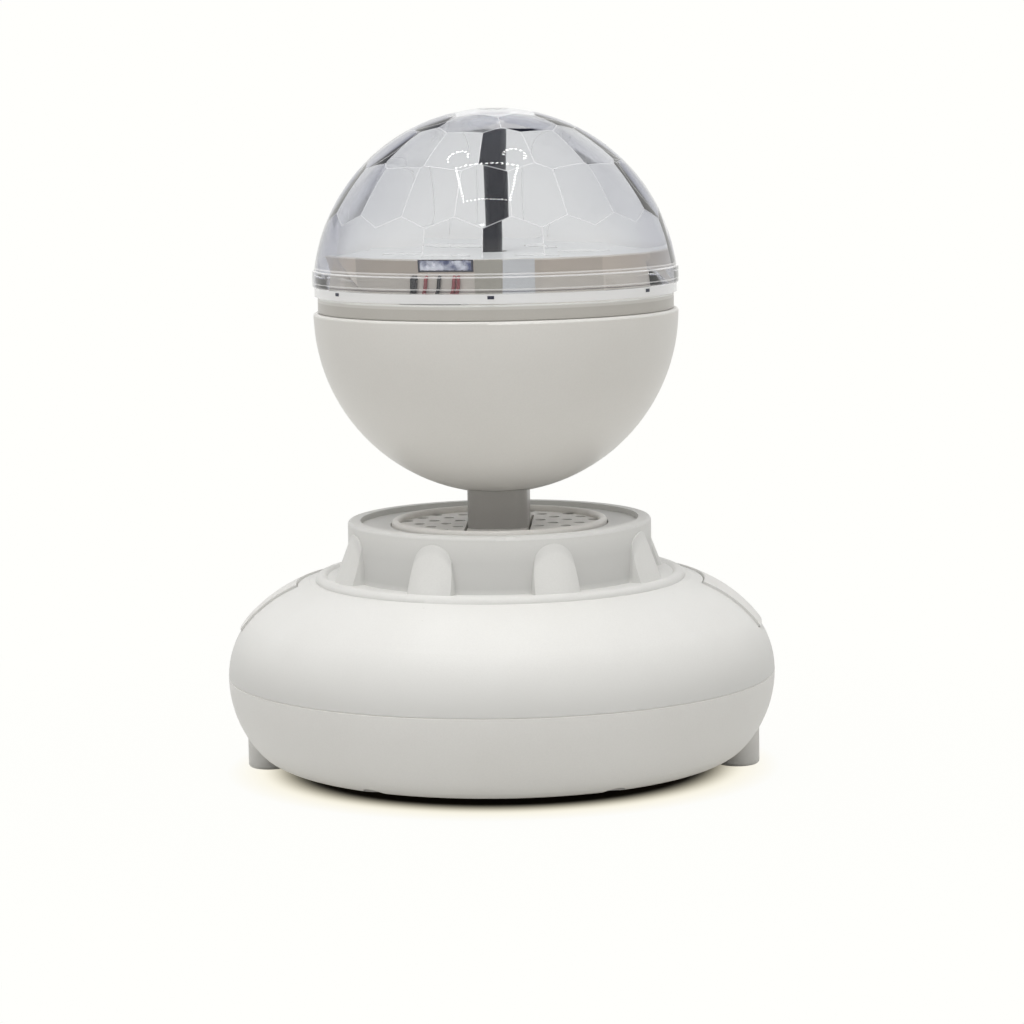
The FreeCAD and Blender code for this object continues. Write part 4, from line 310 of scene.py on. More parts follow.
# the board: broken tracks under the green mask, and tinned pads
TRACK_GREEN = (0.05, 0.30, 0.13, 1)
SOLDER_GREY = (0.60, 0.60, 0.58, 1)
board_mask = moulded("board_mask", (0.02, 0.16, 0.07), cloud=0.1, smooth=0.2, rough=0.3, film=0.0)
tree, skin, plain = open_up(board_mask)
where = place_in(tree)
tracks = add_node(tree, "ShaderNodeTexBrick", {"Vector": where, "Scale": 260.0, "Mortar Size": 0.035,
                                               "Mortar Smooth": 0.2, "Color1": (0, 0, 0, 1),
                                               "Color2": (0, 0, 0, 1), "Mortar": (1, 1, 1, 1)})
run = calculate(tree, "MULTIPLY", tracks.outputs[0],
                spread(tree, noise(tree, where, 130.0, 1.0), 0.48, 0.5, 0.0, 1.0))
raised = blend_colour(tree, run, plain, TRACK_GREEN)
tinned = scattered_dots(tree, where, 300.0, 0.16, 0.2, 0.12)
tree.links.new(blend_colour(tree, tinned, raised, SOLDER_GREY), skin.inputs["Base Color"])
finish(board_mask, "main_board", "led_board")

cell_sleeve = moulded("cell_sleeve", (0.05, 0.18, 0.42), cloud=0.05, smooth=0.15, rough=0.25, film=0.0)
finish(cell_sleeve, "battery_cell")

plated, tree, skin = new_material("plated_steel")
skin.inputs["Metallic"].default_value = 1.0
base = place_grain(tree, (0.62, 0.62, 0.63, 1), 0.08, 0.0006, 0.25, 0.42)
tree.links.new(base["Color"], skin.inputs["Base Color"])
tree.links.new(base["Roughness"], skin.inputs["Roughness"])
finish(plated, "power_socket", "card_socket", "power_switch", "case_screws", "inner_screws",
       "speaker_frame", "speaker_yoke", "stem_nut", "ball_screws", "idler_pin", "motor_can",
       "apex_screw", "output_shaft", "motor_shaft")


# Speaker.
# A small loudspeaker hangs under the deck; a ring and a perforated plate cover it, cut through
# beside the bridge that carries the stem.

ring_plastic = moulded("ring_plastic", (0.90, 0.88, 0.845), smooth=0.3, rough=0.4)
finish(ring_plastic, "speaker_ring")
grille_plastic = moulded("grille_plastic", (0.95, 0.935, 0.905), smooth=0.45, rough=0.6)
finish(grille_plastic, "speaker_grille", "stem_bridge")
cone_paper = moulded("cone_paper", (0.03, 0.03, 0.032), size=0.0005, smooth=0.7, rough=0.9, film=0.0)
finish(cone_paper, "speaker_cone")
ferrite = moulded("ferrite", (0.045, 0.045, 0.05), smooth=0.5, rough=0.7, film=0.0)
finish(ferrite, "speaker_magnet")
coil_wire = moulded("coil_wire", (0.55, 0.24, 0.10), smooth=0.25, rough=0.35, film=0.0)
finish(coil_wire, "voice_coil")


# Stem and bowl.
# A short tube stands on the bridge and carries the bowl, the ball's opaque lower half; both are
# satin mouldings, clamped by a nut inside the bowl.

stem_plastic = moulded("stem_plastic", (0.42, 0.408, 0.388), smooth=0.3, rough=0.4)
finish(stem_plastic, "stem_tube")
bowl_plastic = moulded("bowl_plastic", (0.735, 0.722, 0.692), smooth=0.3, rough=0.4)
finish(bowl_plastic, "bowl_shell")

# painted highlight: the cover that closes the bowl is painted paler in a strip along its top, where its
# edge catches the light
COVER_HIGHLIGHT_FOOT = (0.10395, 0.10415)
COVER_HIGHLIGHT_GREY = (0.62, 0.605, 0.57, 1)
cover_plastic = moulded("cover_plastic", (0.515, 0.497, 0.462), smooth=0.3, rough=0.4)
tree, skin, plain = open_up(cover_plastic)
highlight_up = spread(tree, upward(tree, place_in(tree)), *COVER_HIGHLIGHT_FOOT, 0.0, 1.0)
tree.links.new(blend_colour(tree, highlight_up, plain, COVER_HIGHLIGHT_GREY), skin.inputs["Base Color"])
finish(cover_plastic, "bowl_cover")


# Lamp.
# A drum in taupe plastic stands on the cover and holds the circuit board with six lamps and their
# clear lenses. Two thin leads lie round it, with bits of tape and foil over their way in.

DRUM_RADIUS = 0.0360
DRUM_TOP = 0.1143
LID_GREY = (0.70, 0.70, 0.69, 1)
# painted light: seen through the dome the drum's side is painted about twice as light as its plastic, and
# paler and bluer below this height, behind the dome's band and its veil of reflection
FOOT_LIGHT_TOP = (0.1108, 0.1113)
UPPER_PAINTED_LIGHT = (2.15, 2.17, 2.15, 1)
FOOT_PAINTED_LIGHT = (2.45, 2.62, 2.74, 1)
REAR_LIGHT_PATCH = 0.55
# painted light: round the drum its side is painted in lighter and darker patches where the dome's facets
# bend the light; each patch's tone from the angle on, in degrees from the front, to the right
SIDE_LIGHT_PATCHES = ((-63, 0.66), (-51, 0.47), (-24, 0.52), (17, 0.54), (40, 0.64), (66, 0.55), (120, 0.60))
lamp_plastic = moulded("lamp_plastic", (0.49, 0.422, 0.365), smooth=0.3, rough=0.42)
tree, skin, plain = open_up(lamp_plastic)
facing = add_node(tree, "ShaderNodeTexCoord").outputs["Normal"]
lid = spread(tree, upward(tree, facing), 0.6, 0.9, 0.0, 1.0)
across = add_node(tree, "ShaderNodeSeparateXYZ", {0: place_in(tree)}).outputs
angle = calculate(tree, "ARCTAN2", across["X"], calculate(tree, "MULTIPLY", across["Y"], -1.0))
light_patches = add_node(tree, "ShaderNodeValToRGB", {0: spread(tree, angle, -math.pi, math.pi, 0.0, 1.0)})
ramp = light_patches.color_ramp
ramp.interpolation = "CONSTANT"
for degrees, tone in SIDE_LIGHT_PATCHES:
    stop = ramp.elements.new((degrees + 180) / 360)
    stop.color = (tone, tone, tone, 1)
ramp.elements[0].color = (REAR_LIGHT_PATCH, REAR_LIGHT_PATCH, REAR_LIGHT_PATCH, 1)
ramp.elements.remove(ramp.elements[-1])
side = blend_colour(tree, 1.0, plain, light_patches.outputs[0], "MULTIPLY")
painted_light = blend_colour(tree, spread(tree, across["Z"], *FOOT_LIGHT_TOP, 1.0, 0.0), UPPER_PAINTED_LIGHT, FOOT_PAINTED_LIGHT)
side = blend_colour(tree, 1.0, side, painted_light, "MULTIPLY")
tree.links.new(blend_colour(tree, lid, side, LID_GREY), skin.inputs["Base Color"])
finish(lamp_plastic, "lamp_housing")

HEM = 0.00003
CROWN = 1.15


def add_strip(strip, around, low, high, begin, end, thick, waver):
    """Add a thin strip that lies on a round form; angles in degrees from the front."""
    steps = max(6, int((end - begin) * 2))
    rows = []
    for step in range(steps + 1):
        turn = math.radians(begin + (end - begin) * step / steps - 90)
        lift = waver * math.sin(step * 1.9) * math.sin(step * 0.7)
        row = []
        for out, height in ((HEM, low - lift), (thick, low - lift + HEM),
                            (thick * CROWN, (low + high) / 2), (thick, high + lift - HEM),
                            (HEM, high + lift)):
            reach = around + out
            row.append(strip.verts.new((reach * math.cos(turn), reach * math.sin(turn), height)))
        rows.append(row)
    for before, after in zip(rows, rows[1:]):
        for spot in range(5):
            beside = (spot + 1) % 5
            strip.faces.new((before[spot], before[beside], after[beside], after[spot]))
    strip.faces.new(rows[0])
    strip.faces.new(list(reversed(rows[-1])))


def wrapped(name, material, low, high, begin, end, thick, waver):
    """A strip laid on the drum's wall, its edges a little uneven."""
    strip = bmesh.new()
    add_strip(strip, DRUM_RADIUS, low, high, begin, end, thick, waver)
    return new_piece(name, strip, material, "base", crease=50)


# a strip of greenish tape beside a pale one, from the drum's foot to just under its top
TAPE_FOOT = 0.1053
TAPE_TOP = DRUM_TOP - 0.0001
tape = moulded("drum_tape", (0.45, 0.425, 0.37), cloud=0.12, size=0.0002, smooth=0.35, rough=0.5)
wrapped("drum_tape_strip", tape, TAPE_FOOT, TAPE_TOP, -4.2, 4.9, 0.00012, 0.00004)
pale_tape = moulded("pale_tape", (0.72, 0.73, 0.75), cloud=0.1, size=0.0003, smooth=0.3, rough=0.4)
wrapped("pale_tape_strip", pale_tape, TAPE_FOOT, TAPE_TOP, 5.1, 15.6, 0.00010, 0.00003)

# a piece of crumpled foil on a dark border, left of the tape
FOIL_DARK = (0.10, 0.12, 0.24, 1)
FOIL_LIGHT = (0.86, 0.88, 0.97, 1)
foil, tree, skin = new_material("crumpled_foil")
where = place_in(tree)
crumple = add_node(tree, "ShaderNodeTexVoronoi", {"Vector": where, "Scale": 620.0},
                   feature="F1").outputs["Distance"]
fold = spread(tree, noise(tree, where, 420.0, 3.0), 0.35, 0.62, 0.0, 1.0)
tree.links.new(blend_colour(tree, fold, FOIL_DARK, FOIL_LIGHT), skin.inputs["Base Color"])
skin.inputs["Metallic"].default_value = 0.6
tree.links.new(spread(tree, crumple, 0.0, 0.8, 0.2, 0.4), skin.inputs["Roughness"])
bump = add_node(tree, "ShaderNodeBump", {"Height": crumple, "Distance": 0.0004, "Strength": 0.8})
tree.links.new(bump.outputs[0], skin.inputs["Normal"])
wrapped("foil_strip", foil, 0.1121, 0.11405, -22.9, -5.2, 0.00012, 0.00006)
foil_shade = moulded("foil_border", (0.03, 0.03, 0.05), smooth=0.3, rough=0.4)
wrapped("foil_border_strip", foil_shade, 0.1118, 0.11425, -23.7, -4.5, 0.00006, 0.00002)

led_phosphor = moulded("led_phosphor", (0.80, 0.72, 0.38), smooth=0.3, rough=0.4, film=0.0)
finish(led_phosphor, "leds")
red_sleeve = moulded("red_sleeve", (0.30, 0.07, 0.075), smooth=0.25, rough=0.35, film=0.0)
finish(red_sleeve, "red_lead")


def bent_rod(mesh, route, radius, sides=10):
    """Sweep a round section along a smooth route through the given points."""
    points = [Vector(spot) for spot in route]
    smooth = []
    for index in range(len(points) - 1):
        before = points[max(index - 1, 0)]
        here, there = points[index], points[index + 1]
        after = points[min(index + 2, len(points) - 1)]
        for step in range(8):
            along = step / 8
            smooth.append(0.5 * (2 * here + (there - before) * along
                                 + (2 * before - 5 * here + 4 * there - after) * along ** 2
                                 + (3 * here - before - 3 * there + after) * along ** 3))
    smooth.append(points[-1])
    rings = []
    for index, spot in enumerate(smooth):
        ahead = smooth[min(index + 1, len(smooth) - 1)] - smooth[max(index - 1, 0)]
        out = Vector((spot.x, spot.y, 0)).normalized()
        across = ahead.cross(out).normalized()
        third = across.cross(ahead).normalized()
        rings.append([mesh.verts.new(spot + radius * (math.cos(2 * math.pi * side / sides) * across
                                                      + math.sin(2 * math.pi * side / sides) * third))
                      for side in range(sides)])
    for before, after in zip(rings, rings[1:]):
        for side in range(sides):
            beside = (side + 1) % sides
            mesh.faces.new((before[side], before[beside], after[beside], after[side]))
    mesh.faces.new(list(reversed(rings[0])))
    mesh.faces.new(rings[-1])


# both leads climb the drum's side and go in through small holes near its top: the climb is given as
# degrees from the end's own angle, distance from the drum's wall, height
LEAD_RADIUS = 0.00040
LEAD_CLIMB = ((-2.6, 0.00046, 0.1060), (-1.6, 0.00047, 0.1066), (-0.5, 0.00048, 0.1078),
              (0.0, 0.00047, 0.1094), (0.1, 0.00044, 0.1104), (0.1, -0.0004, 0.1109))
for name, material, turns in (("red_lead_ends", red_sleeve, (-20.4, -10.9, -9.5)),
                              ("black_lead_ends", black_plastic, (-25.6, -24.6, -15.9))):
    ends = bmesh.new()
    for turn in turns:
        route = []
        for offset, reach, height in LEAD_CLIMB:
            swing = math.radians(turn + offset - 90)
            route.append(((DRUM_RADIUS + reach) * math.cos(swing),
                          (DRUM_RADIUS + reach) * math.sin(swing), height))
        bent_rod(ends, route, LEAD_RADIUS)
    for face in ends.faces:
        face.smooth = len(face.verts) == 4
    new_piece(name, ends, material, "base")


# Gearbox.
# A small motor and three pairs of moulded gears under the cover turn the dome; the gears are
# unfilled white acetal, and the post that carries the dome is glossy black.

gear_acetal = moulded("gear_acetal", (0.82, 0.81, 0.77), smooth=0.3, rough=0.4, film=0.0)
finish(gear_acetal, "gearbox_base", "gearbox_cover", "output_gear", "first_gear", "second_gear",
       "motor_pinion")
post_plastic = moulded("post_plastic", (0.012, 0.012, 0.014), smooth=0.12, rough=0.2, film=0.0)
finish(post_plastic, "drive_post")


# Dome.
# The upper half of the ball, one thick moulding in clear plastic: smooth outside, with rows of
# flat facets inside that break the light up; it turns on the black post with its clear ring.

def clear_plastic(name, colour, clearness=1.0):
    """A clear plastic; below a clearness of 1 it is partly frosted."""
    made, tree, skin = new_material(name)
    base = place_grain(tree, colour, 0.01, 0.004, 0.0, 0.02)
    tree.links.new(base["Color"], skin.inputs["Base Color"])
    tree.links.new(base["Roughness"], skin.inputs["Roughness"])
    skin.inputs["IOR"].default_value = 1.49
    skin.inputs["Transmission Weight"].default_value = clearness
    path = add_node(tree, "ShaderNodeLightPath").outputs
    through = add_node(tree, "ShaderNodeBsdfTransparent", {0: (0.95, 0.96, 0.97, 1)})
    easy = calculate(tree, "MAXIMUM", path["Is Shadow Ray"], path["Is Diffuse Ray"])
    mix = add_node(tree, "ShaderNodeMixShader", {0: easy, 1: skin.outputs[0], 2: through.outputs[0]})
    tree.links.new(mix.outputs[0], tree.nodes["Material Output"].inputs["Surface"])
    return made


# seen aslant the wall is thicker, and the dome's sides are tinted darker and bluer: partly that thicker
# wall, partly painted shade for the dark reflections there, up to a height where it pales
SIDE_SHADE_TINT = (0.53, 0.54, 0.60, 1)
SIDE_SHADE_HEIGHTS = (0.124, 0.139)
dome_clear = clear_plastic("dome_clear", (0.85, 0.855, 0.868, 1))
tree, skin, plain = open_up(dome_clear)
aslant = add_node(tree, "ShaderNodeLayerWeight", {"Blend": 0.5}).outputs["Facing"]
side_shade = calculate(tree, "MULTIPLY", spread(tree, aslant, 0.22, 0.75, 0.0, 1.0),
                 spread(tree, upward(tree, place_in(tree)), *SIDE_SHADE_HEIGHTS, 1.0, 0.0))
tree.links.new(blend_colour(tree, side_shade, plain, SIDE_SHADE_TINT), skin.inputs["Base Color"])
# painted highlight: a partly frosted white for the facets' borders and the bright lines, so they show
# bright
edge_highlight = clear_plastic("edge_highlight", (0.97, 0.97, 0.98, 1), 0.55)
shade_clear = clear_plastic("shade_clear", (0.25, 0.25, 0.28, 1))
boss_frost = clear_plastic("boss_frost", (0.93, 0.93, 0.94, 1), 0.45)

DOME_CENTRE = 0.10559
DOME_FOOT = 0.10729
DOME_LEDGE = 0.11099
DOME_OUTER = 0.0400
DOME_BAND = 0.0401
CAP_SEAT = 0.14429
CAP_RADIUS = 0.00345
SCREW_SEAT = 0.14279
SCREW_HEAD = 0.00205
SCREW_HOLE = 0.00105
POST_TOP = 0.13919
HOLE_END = POST_TOP - 0.0002
# over the foot: its rounded edge, a shaded line and a bright line; over the ledge: a bright line
FOOT_EDGE = 0.0002
SHADED_LINE = (0.00045, 0.0007)
BRIGHT_LINE = (0.0009, 0.00115)
LEDGE_EDGE = 0.0003
RIM_LINE = (0.00035, 0.00066)

# the filled form: foot, band, ledge, sphere, the seats of the cap and of the screw
arc_start = math.asin((DOME_LEDGE - DOME_CENTRE) / DOME_OUTER)
arc_end = math.acos(CAP_RADIUS / DOME_OUTER)
arc = [arc_start + turn for turn in (0, 0.008, 0.0165, 0.0225)]
arc += [arc_start + 0.03 + (arc_end - arc_start - 0.03) * step / 80 for step in range(81)]
outline = [(0, DOME_FOOT), (DOME_BAND - FOOT_EDGE, DOME_FOOT)]
outline += [(DOME_BAND, DOME_FOOT + rise) for rise in (FOOT_EDGE,) + SHADED_LINE + BRIGHT_LINE]
outline += [(DOME_BAND, DOME_LEDGE - LEDGE_EDGE), (DOME_BAND - 0.0001, DOME_LEDGE - 0.0001),
            (DOME_BAND - LEDGE_EDGE, DOME_LEDGE)]
outline += [(DOME_OUTER * math.cos(angle), DOME_CENTRE + DOME_OUTER * math.sin(angle)) for angle in arc]
outline += [(CAP_RADIUS, CAP_SEAT), (SCREW_HEAD, CAP_SEAT), (SCREW_HEAD, SCREW_SEAT),
            (SCREW_HOLE, SCREW_SEAT), (SCREW_HOLE, HOLE_END), (0, HOLE_END)]
form = bmesh.new()
lathe(form, outline, 256)
for face in form.faces:
    face.smooth = True

# the room inside: a block cut by the planes of the facets, row by row, its edges softened
FACET_DISTANCE = 0.0376
FACET_TURN = 8.7
ROW_LIFTS = (14.7, 35.6, 54.4, 71.5, 82.0)
ROW_CELLS = (18, 18, 14, 7, 7)
SOFTENING = 0.00010
room = bmesh.new()
bmesh.ops.create_cube(room, size=2 * DOME_OUTER)
planes = [Vector((0, 0, 1))]
for row, (lift, cells) in enumerate(zip(ROW_LIFTS, ROW_CELLS)):
    for cell in range(cells):
        swing = math.radians(FACET_TURN + 360 * (cell + (row % 2) / 2) / cells - 90)
        rise = math.radians(lift)
        planes.append(Vector((math.cos(rise) * math.cos(swing), math.cos(rise) * math.sin(swing),
                              math.sin(rise))))
for normal in planes:
    cut = bmesh.ops.bisect_plane(room, geom=room.verts[:] + room.edges[:] + room.faces[:], dist=1e-7,
                                 plane_co=normal * FACET_DISTANCE, plane_no=normal, clear_outer=True)
    rim = [item for item in cut["geom_cut"] if isinstance(item, bmesh.types.BMEdge)]
    if rim:
        bmesh.ops.contextual_create(room, geom=rim)
edges = [edge for edge in room.edges if min(corner.co.z for corner in edge.verts) > -DOME_OUTER / 2]
bmesh.ops.bevel(room, geom=edges, offset=SOFTENING, offset_type="OFFSET", segments=1, profile=0.5,
                affect="EDGES", clamp_overlap=True)
for corner in room.verts:
    corner.co.z += DOME_CENTRE
# under this height the softened edges stay as clear as the wall
EDGE_FOOT = 0.1147
bmesh.ops.bisect_plane(room, geom=room.verts[:] + room.edges[:] + room.faces[:], dist=1e-7,
                       plane_co=(0, 0, EDGE_FOOT), plane_no=(0, 0, 1))

# the boss over the post stays out of the room
BOSS_RADIUS = 0.0034
boss = bmesh.new()
lathe(boss, [(0, POST_TOP), (BOSS_RADIUS, POST_TOP), (BOSS_RADIUS, 0.150), (0, 0.150)], 64)

dome = new_piece("lens_dome", form, dome_clear, "dome")
boss_form = new_piece("boss_form", boss, dome_clear, "dome")
room_form = new_piece("room_form", room, dome_clear, "dome")
for whole, tool in ((room_form, boss_form), (dome, room_form)):
    taken = whole.modifiers.new("cut", "BOOLEAN")
    taken.operation = "DIFFERENCE"
    taken.solver = "EXACT"
    taken.object = tool
    bpy.context.view_layer.update()
    ready = bpy.data.meshes.new_from_object(whole.evaluated_get(bpy.context.evaluated_depsgraph_get()))
    whole.modifiers.clear()
    whole.data = ready
for tool in (boss_form, room_form):
    bpy.data.objects.remove(tool)
dome.data.set_sharp_from_angle(angle=math.radians(25))

# the wall is clear; the facets' borders and the fine bright lines at the foot and over the ledge are a
# partly frosted white, a painted highlight where they catch the light; the shaded line at the foot is a
# dark clear, a painted shade; the boss is frosted
WALL, EDGE, SHADE, FROST = range(4)
FROST_FOOT = 0.1424
BOSS_REACH = 0.0036
dome.data.materials.clear()
for material in (dome_clear, edge_highlight, shade_clear, boss_frost):
    dome.data.materials.append(material)
middle = Vector((0, 0, DOME_CENTRE))
for face in dome.data.polygons:
    spot = face.center
    reach = math.hypot(spot.x, spot.y)
    on_plane = any(abs((spot - middle).dot(plane) - FACET_DISTANCE) < 1e-6 for plane in planes)
    inside = (spot - middle).length < DOME_OUTER - 0.0008
    over_foot = spot.z - DOME_FOOT
    choice = WALL
    if reach > DOME_BAND - 0.0004 and spot.z < DOME_LEDGE + 0.0001:
        if (over_foot < FOOT_EDGE or BRIGHT_LINE[0] < over_foot < BRIGHT_LINE[1]
                or spot.z > DOME_LEDGE - LEDGE_EDGE):
            choice = EDGE
        elif SHADED_LINE[0] < over_foot < SHADED_LINE[1]:
            choice = SHADE
    elif not inside and DOME_LEDGE + RIM_LINE[0] < spot.z < DOME_LEDGE + RIM_LINE[1]:
        choice = EDGE
    elif (inside or reach < BOSS_REACH) and spot.z > FROST_FOOT:
        choice = FROST
    elif inside and spot.z > EDGE_FOOT and not on_plane and reach > BOSS_REACH:
        choice = EDGE
    face.material_index = choice
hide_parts("crystal_dome")
finish(dome_clear, "apex_cap")
ring_clear = clear_plastic("ring_clear", (0.90, 0.90, 0.905, 1), 0.3)
finish(ring_clear, "dome_ring")
lens_frost = clear_plastic("lens_frost", (0.93, 0.93, 0.92, 1), 0.3)
finish(lens_frost, "led_lenses")

# painted shade: six thin dark pieces lie at the ring's clear catches in the dome's foot, where the catches
# look dark
CATCH_TURNS = (1.2, 57.0, 119.0, 181.0, 243.0, 304.5)
CATCH_HALF = 1.0
CATCH_SEAT = 0.0394
CATCH_FOOT = 0.10625
CATCH_TOP = 0.1070
CATCH_THICK = 0.00038
catch_shade = moulded("catch_shade", (0.035, 0.038, 0.06), smooth=0.2, rough=0.3, film=0.0)
catches = bmesh.new()
for turn in CATCH_TURNS:
    add_strip(catches, CATCH_SEAT, CATCH_FOOT, CATCH_TOP, turn - CATCH_HALF, turn + CATCH_HALF,
              CATCH_THICK, 0.0)
catch_set = new_piece("ring_catches", catches, catch_shade, "dome")


# Floor.
# A wide sheet of matt white card. To the eye, to mirrors and through the clear dome it shows plain
# white, but for the dark contact shadow under the base, which has a faint warm rim.

FLOOR_EDGE = 3.0
FLOOR_LEVEL = -0.0002
FLOOR_CELLS = 24
row_length = FLOOR_CELLS + 1
points = [(FLOOR_EDGE * (2 * x / FLOOR_CELLS - 1), FLOOR_EDGE * (2 * y / FLOOR_CELLS - 1), FLOOR_LEVEL)
          for y in range(row_length) for x in range(row_length)]
sheets = [(x + y * row_length, x + 1 + y * row_length, x + 1 + (y + 1) * row_length,
           x + (y + 1) * row_length) for y in range(FLOOR_CELLS) for x in range(FLOOR_CELLS)]
floor_mesh = bpy.data.meshes.new("studio_floor")
floor_mesh.from_pydata(points, [], sheets)
floor = bpy.data.objects.new("studio_floor", floor_mesh)
bpy.context.scene.collection.objects.link(floor)

WHITE = (1.0, 1.0, 0.975, 1)
SHADOW_BROWN = (0.06, 0.048, 0.028, 1)
WARM_RIM = (0.97, 0.90, 0.70, 1)
SHADOW_SQUEEZE = (0.94, 1.0, 1.0)
SHADOW_END = (0.041, 0.053)
GLOW_RISE = (0.0412, 0.0511)
GLOW_END = (0.05, 0.2)
WARM_END = (0.044, 0.058)
card, tree, skin = new_material("white_card")
where = place_in(tree)
white = blend_colour(tree, noise(tree, where, 900.0, 2.0), (0.71, 0.705, 0.685, 1),
                     (0.73, 0.725, 0.705, 1))
skin.inputs["Roughness"].default_value = 0.8
skin.inputs["Specular IOR Level"].default_value = 0.1
squeezed = add_node(tree, "ShaderNodeVectorMath", {0: where, 1: SHADOW_SQUEEZE}, operation="MULTIPLY")
distance = add_node(tree, "ShaderNodeVectorMath", {0: squeezed.outputs[0]},
                    operation="LENGTH").outputs["Value"]
shaded = blend_colour(tree, spread(tree, distance, *SHADOW_END, 0.0, 1.0), SHADOW_BROWN, white)
tree.links.new(shaded, skin.inputs["Base Color"])
away = calculate(tree, "ADD", spread(tree, distance, *GLOW_RISE, 0.0, 0.97, "SMOOTHSTEP"),
                 spread(tree, distance, *GLOW_END, 0.0, 0.03, "SMOOTHSTEP"))
path = add_node(tree, "ShaderNodeLightPath").outputs
seen = calculate(tree, "MAXIMUM", path["Is Camera Ray"],
                 calculate(tree, "MAXIMUM", path["Is Glossy Ray"], path["Is Transmission Ray"]))
warm = blend_colour(tree, spread(tree, distance, *WARM_END, 0.0, 1.0), WARM_RIM, WHITE)
glow = add_node(tree, "ShaderNodeEmission", {"Color": warm, "Strength": 1.0})
mix = add_node(tree, "ShaderNodeMixShader", {0: calculate(tree, "MULTIPLY", away, seen),
                                             1: skin.outputs[0], 2: glow.outputs[0]})
tree.links.new(mix.outputs[0], tree.nodes["Material Output"].inputs["Surface"])
floor_mesh.materials.append(card)


# Light.
# A plain white room with a dim ceiling, one large soft panel overhead, and a square frame of small
# round lamps that the dome mirrors.

DIM_CEILING = (0.72, 0.73, 0.78, 1)
DIM_CEILING_MIRRORED = (0.14, 0.15, 0.23, 1)
DARK_END = (0.17, 0.18, 0.28, 1)
DARK_END_TOP = (0.70, 0.71, 0.74, 1)
world = bpy.data.worlds.new("white_room")
bpy.context.scene.world = world
world.use_nodes = True
tree = world.node_tree
tree.nodes.clear()
height = upward(tree, add_node(tree, "ShaderNodeTexCoord").outputs["Generated"])
path = add_node(tree, "ShaderNodeLightPath").outputs
lighting = add_node(tree, "ShaderNodeBackground", {"Color": (1.0, 0.995, 0.985, 1),
                                                   "Strength": spread(tree, height, -0.2, 1.0, 0.22, 0.78)})
backdrop = add_node(tree, "ShaderNodeBackground", {"Color": WHITE, "Strength": 1.0})
overhead = blend_colour(tree, path["Is Glossy Ray"], DIM_CEILING, DIM_CEILING_MIRRORED)
ceiling_tone = blend_colour(tree, spread(tree, height, 0.4, 0.62, 0.0, 1.0), WHITE, overhead)
# what a ray meets after a mirror turn inside the clear wall is the room's dark end
inner = calculate(tree, "MULTIPLY", calculate(tree, "GREATER_THAN", path["Glossy Depth"], 0.5),
                  calculate(tree, "LESS_THAN", path["Transmission Depth"], 2.5))
dark_end = blend_colour(tree, spread(tree, height, 0.1, 0.5, 0.0, 1.0), DARK_END, DARK_END_TOP)
ceiling_tone = blend_colour(tree, calculate(tree, "MULTIPLY", path["Is Transmission Ray"], inner),
                            ceiling_tone, dark_end)
ceiling = add_node(tree, "ShaderNodeBackground", {"Color": ceiling_tone, "Strength": 1.0})
mirrored = calculate(tree, "MAXIMUM", path["Is Glossy Ray"], path["Is Transmission Ray"])
mix = add_node(tree, "ShaderNodeMixShader", {0: mirrored, 1: lighting.outputs[0], 2: ceiling.outputs[0]})
last = add_node(tree, "ShaderNodeMixShader", {0: path["Is Camera Ray"], 1: mix.outputs[0],
                                              2: backdrop.outputs[0]})
add_node(tree, "ShaderNodeOutputWorld", {0: last.outputs[0]})

# the soft panel hangs over the light, a little in front of it
PANEL_PLACE = Vector((-0.03, -0.25, 0.95))
PANEL_AIM = Vector((0, 0, 0.06))
panel_light = bpy.data.lights.new("top_panel", "AREA")
panel_light.shape = "RECTANGLE"
panel_light.size = 0.7
panel_light.size_y = 0.7
panel_light.energy = 5.4
panel_light.color = (1.0, 0.99, 0.975)
panel = bpy.data.objects.new("top_panel", panel_light)
panel.location = PANEL_PLACE
panel.rotation_euler = (PANEL_AIM - PANEL_PLACE).to_track_quat("-Z", "Y").to_euler()
panel.visible_glossy = False
panel.visible_transmission = False
bpy.context.scene.collection.objects.link(panel)

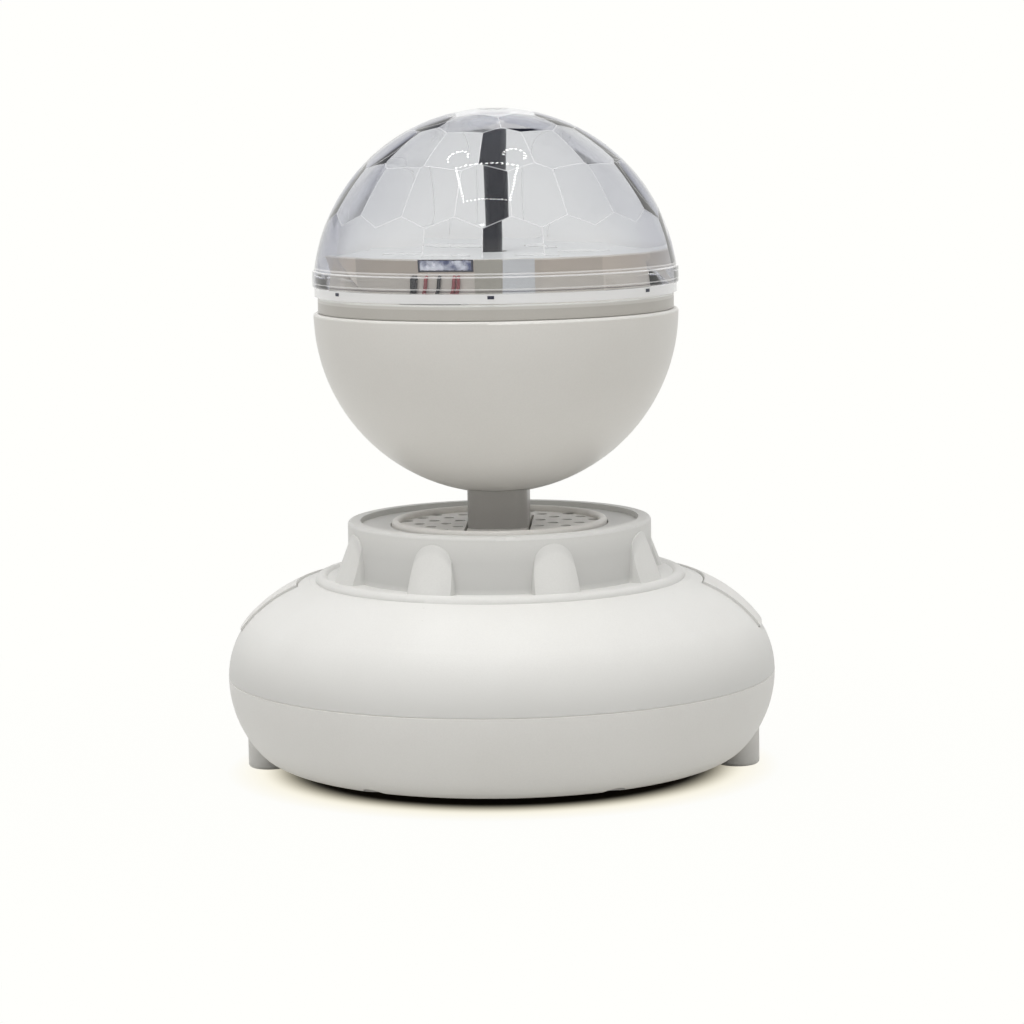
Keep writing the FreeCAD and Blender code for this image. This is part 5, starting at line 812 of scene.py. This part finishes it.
# the frame of lamps: a rectangle with two arcs behind it
FRAME_LEFT, FRAME_RIGHT, FRAME_WIDTH = -0.31, 0.20, 0.51
FRAME_FRONT, FRAME_BACK, FRAME_DEPTH = -0.56, -0.03, 0.53
FRAME_HEIGHT = 1.13
FRAME_STEPS = 12
ARC_PLACES = ((-0.28, 0.13), (0.155, 0.13))
ARC_WIDE = 0.085
ARC_DEEP = 0.1
BULB_RADIUS = 0.012
spots = [(FRAME_LEFT + FRAME_WIDTH * step / FRAME_STEPS, side)
         for step in range(FRAME_STEPS + 1) for side in (FRAME_FRONT, FRAME_BACK)]
spots += [(side, FRAME_FRONT + FRAME_DEPTH * step / FRAME_STEPS)
          for step in range(1, FRAME_STEPS) for side in (FRAME_LEFT, FRAME_RIGHT)]
for arc_x, arc_y in ARC_PLACES:
    spots += [(arc_x + ARC_WIDE * math.cos(math.pi * (step - 0.5) / 7),
               arc_y + ARC_DEEP * math.sin(math.pi * (step - 0.5) / 7)) for step in range(9)]
bulbs = bmesh.new()
for x, y in spots:
    bulb = [bulbs.verts.new((x + BULB_RADIUS * math.cos(math.pi * step / 5),
                             y + BULB_RADIUS * math.sin(math.pi * step / 5), FRAME_HEIGHT))
            for step in range(10)]
    bulbs.faces.new(list(reversed(bulb)))
bulb_mesh = bpy.data.meshes.new("lamp_frame")
bulbs.to_mesh(bulb_mesh)
bulbs.free()
bulb_glow, tree, skin = new_material("bulb_glow")
tree.nodes.remove(skin)
glow = add_node(tree, "ShaderNodeEmission", {"Color": (1.0, 0.99, 0.98, 1), "Strength": 20.0})
tree.links.new(glow.outputs[0], tree.nodes["Material Output"].inputs["Surface"])
bulb_mesh.materials.append(bulb_glow)
lamp_frame = bpy.data.objects.new("lamp_frame", bulb_mesh)
bpy.context.scene.collection.objects.link(lamp_frame)


# Camera.
# It stands in front, a little to the right and just over the ball, with a long lens; its tilt, roll
# and sideways shift are those of the photograph.

CAMERA_DISTANCE = 0.7374
CAMERA_HEIGHT = 0.1498
CAMERA_SWING = math.radians(2.7)
CAMERA_TILT = math.radians(90 - 7.19)
CAMERA_ROLL = math.radians(-0.936)
camera_data = bpy.data.cameras.new("camera")
camera_data.lens = 118.2
camera_data.sensor_width = 36.0
camera_data.shift_x = 0.01244
camera_data.clip_start = 0.01
camera = bpy.data.objects.new("camera", camera_data)
camera.location = (CAMERA_DISTANCE * math.sin(CAMERA_SWING), -CAMERA_DISTANCE * math.cos(CAMERA_SWING),
                   CAMERA_HEIGHT)
camera.rotation_euler = (CAMERA_TILT, 0, CAMERA_SWING)
camera.rotation_euler.rotate_axis("Z", CAMERA_ROLL)
bpy.context.scene.collection.objects.link(camera)
bpy.context.scene.camera = camera


# View transform.

bpy.context.scene.view_settings.view_transform = "Standard"
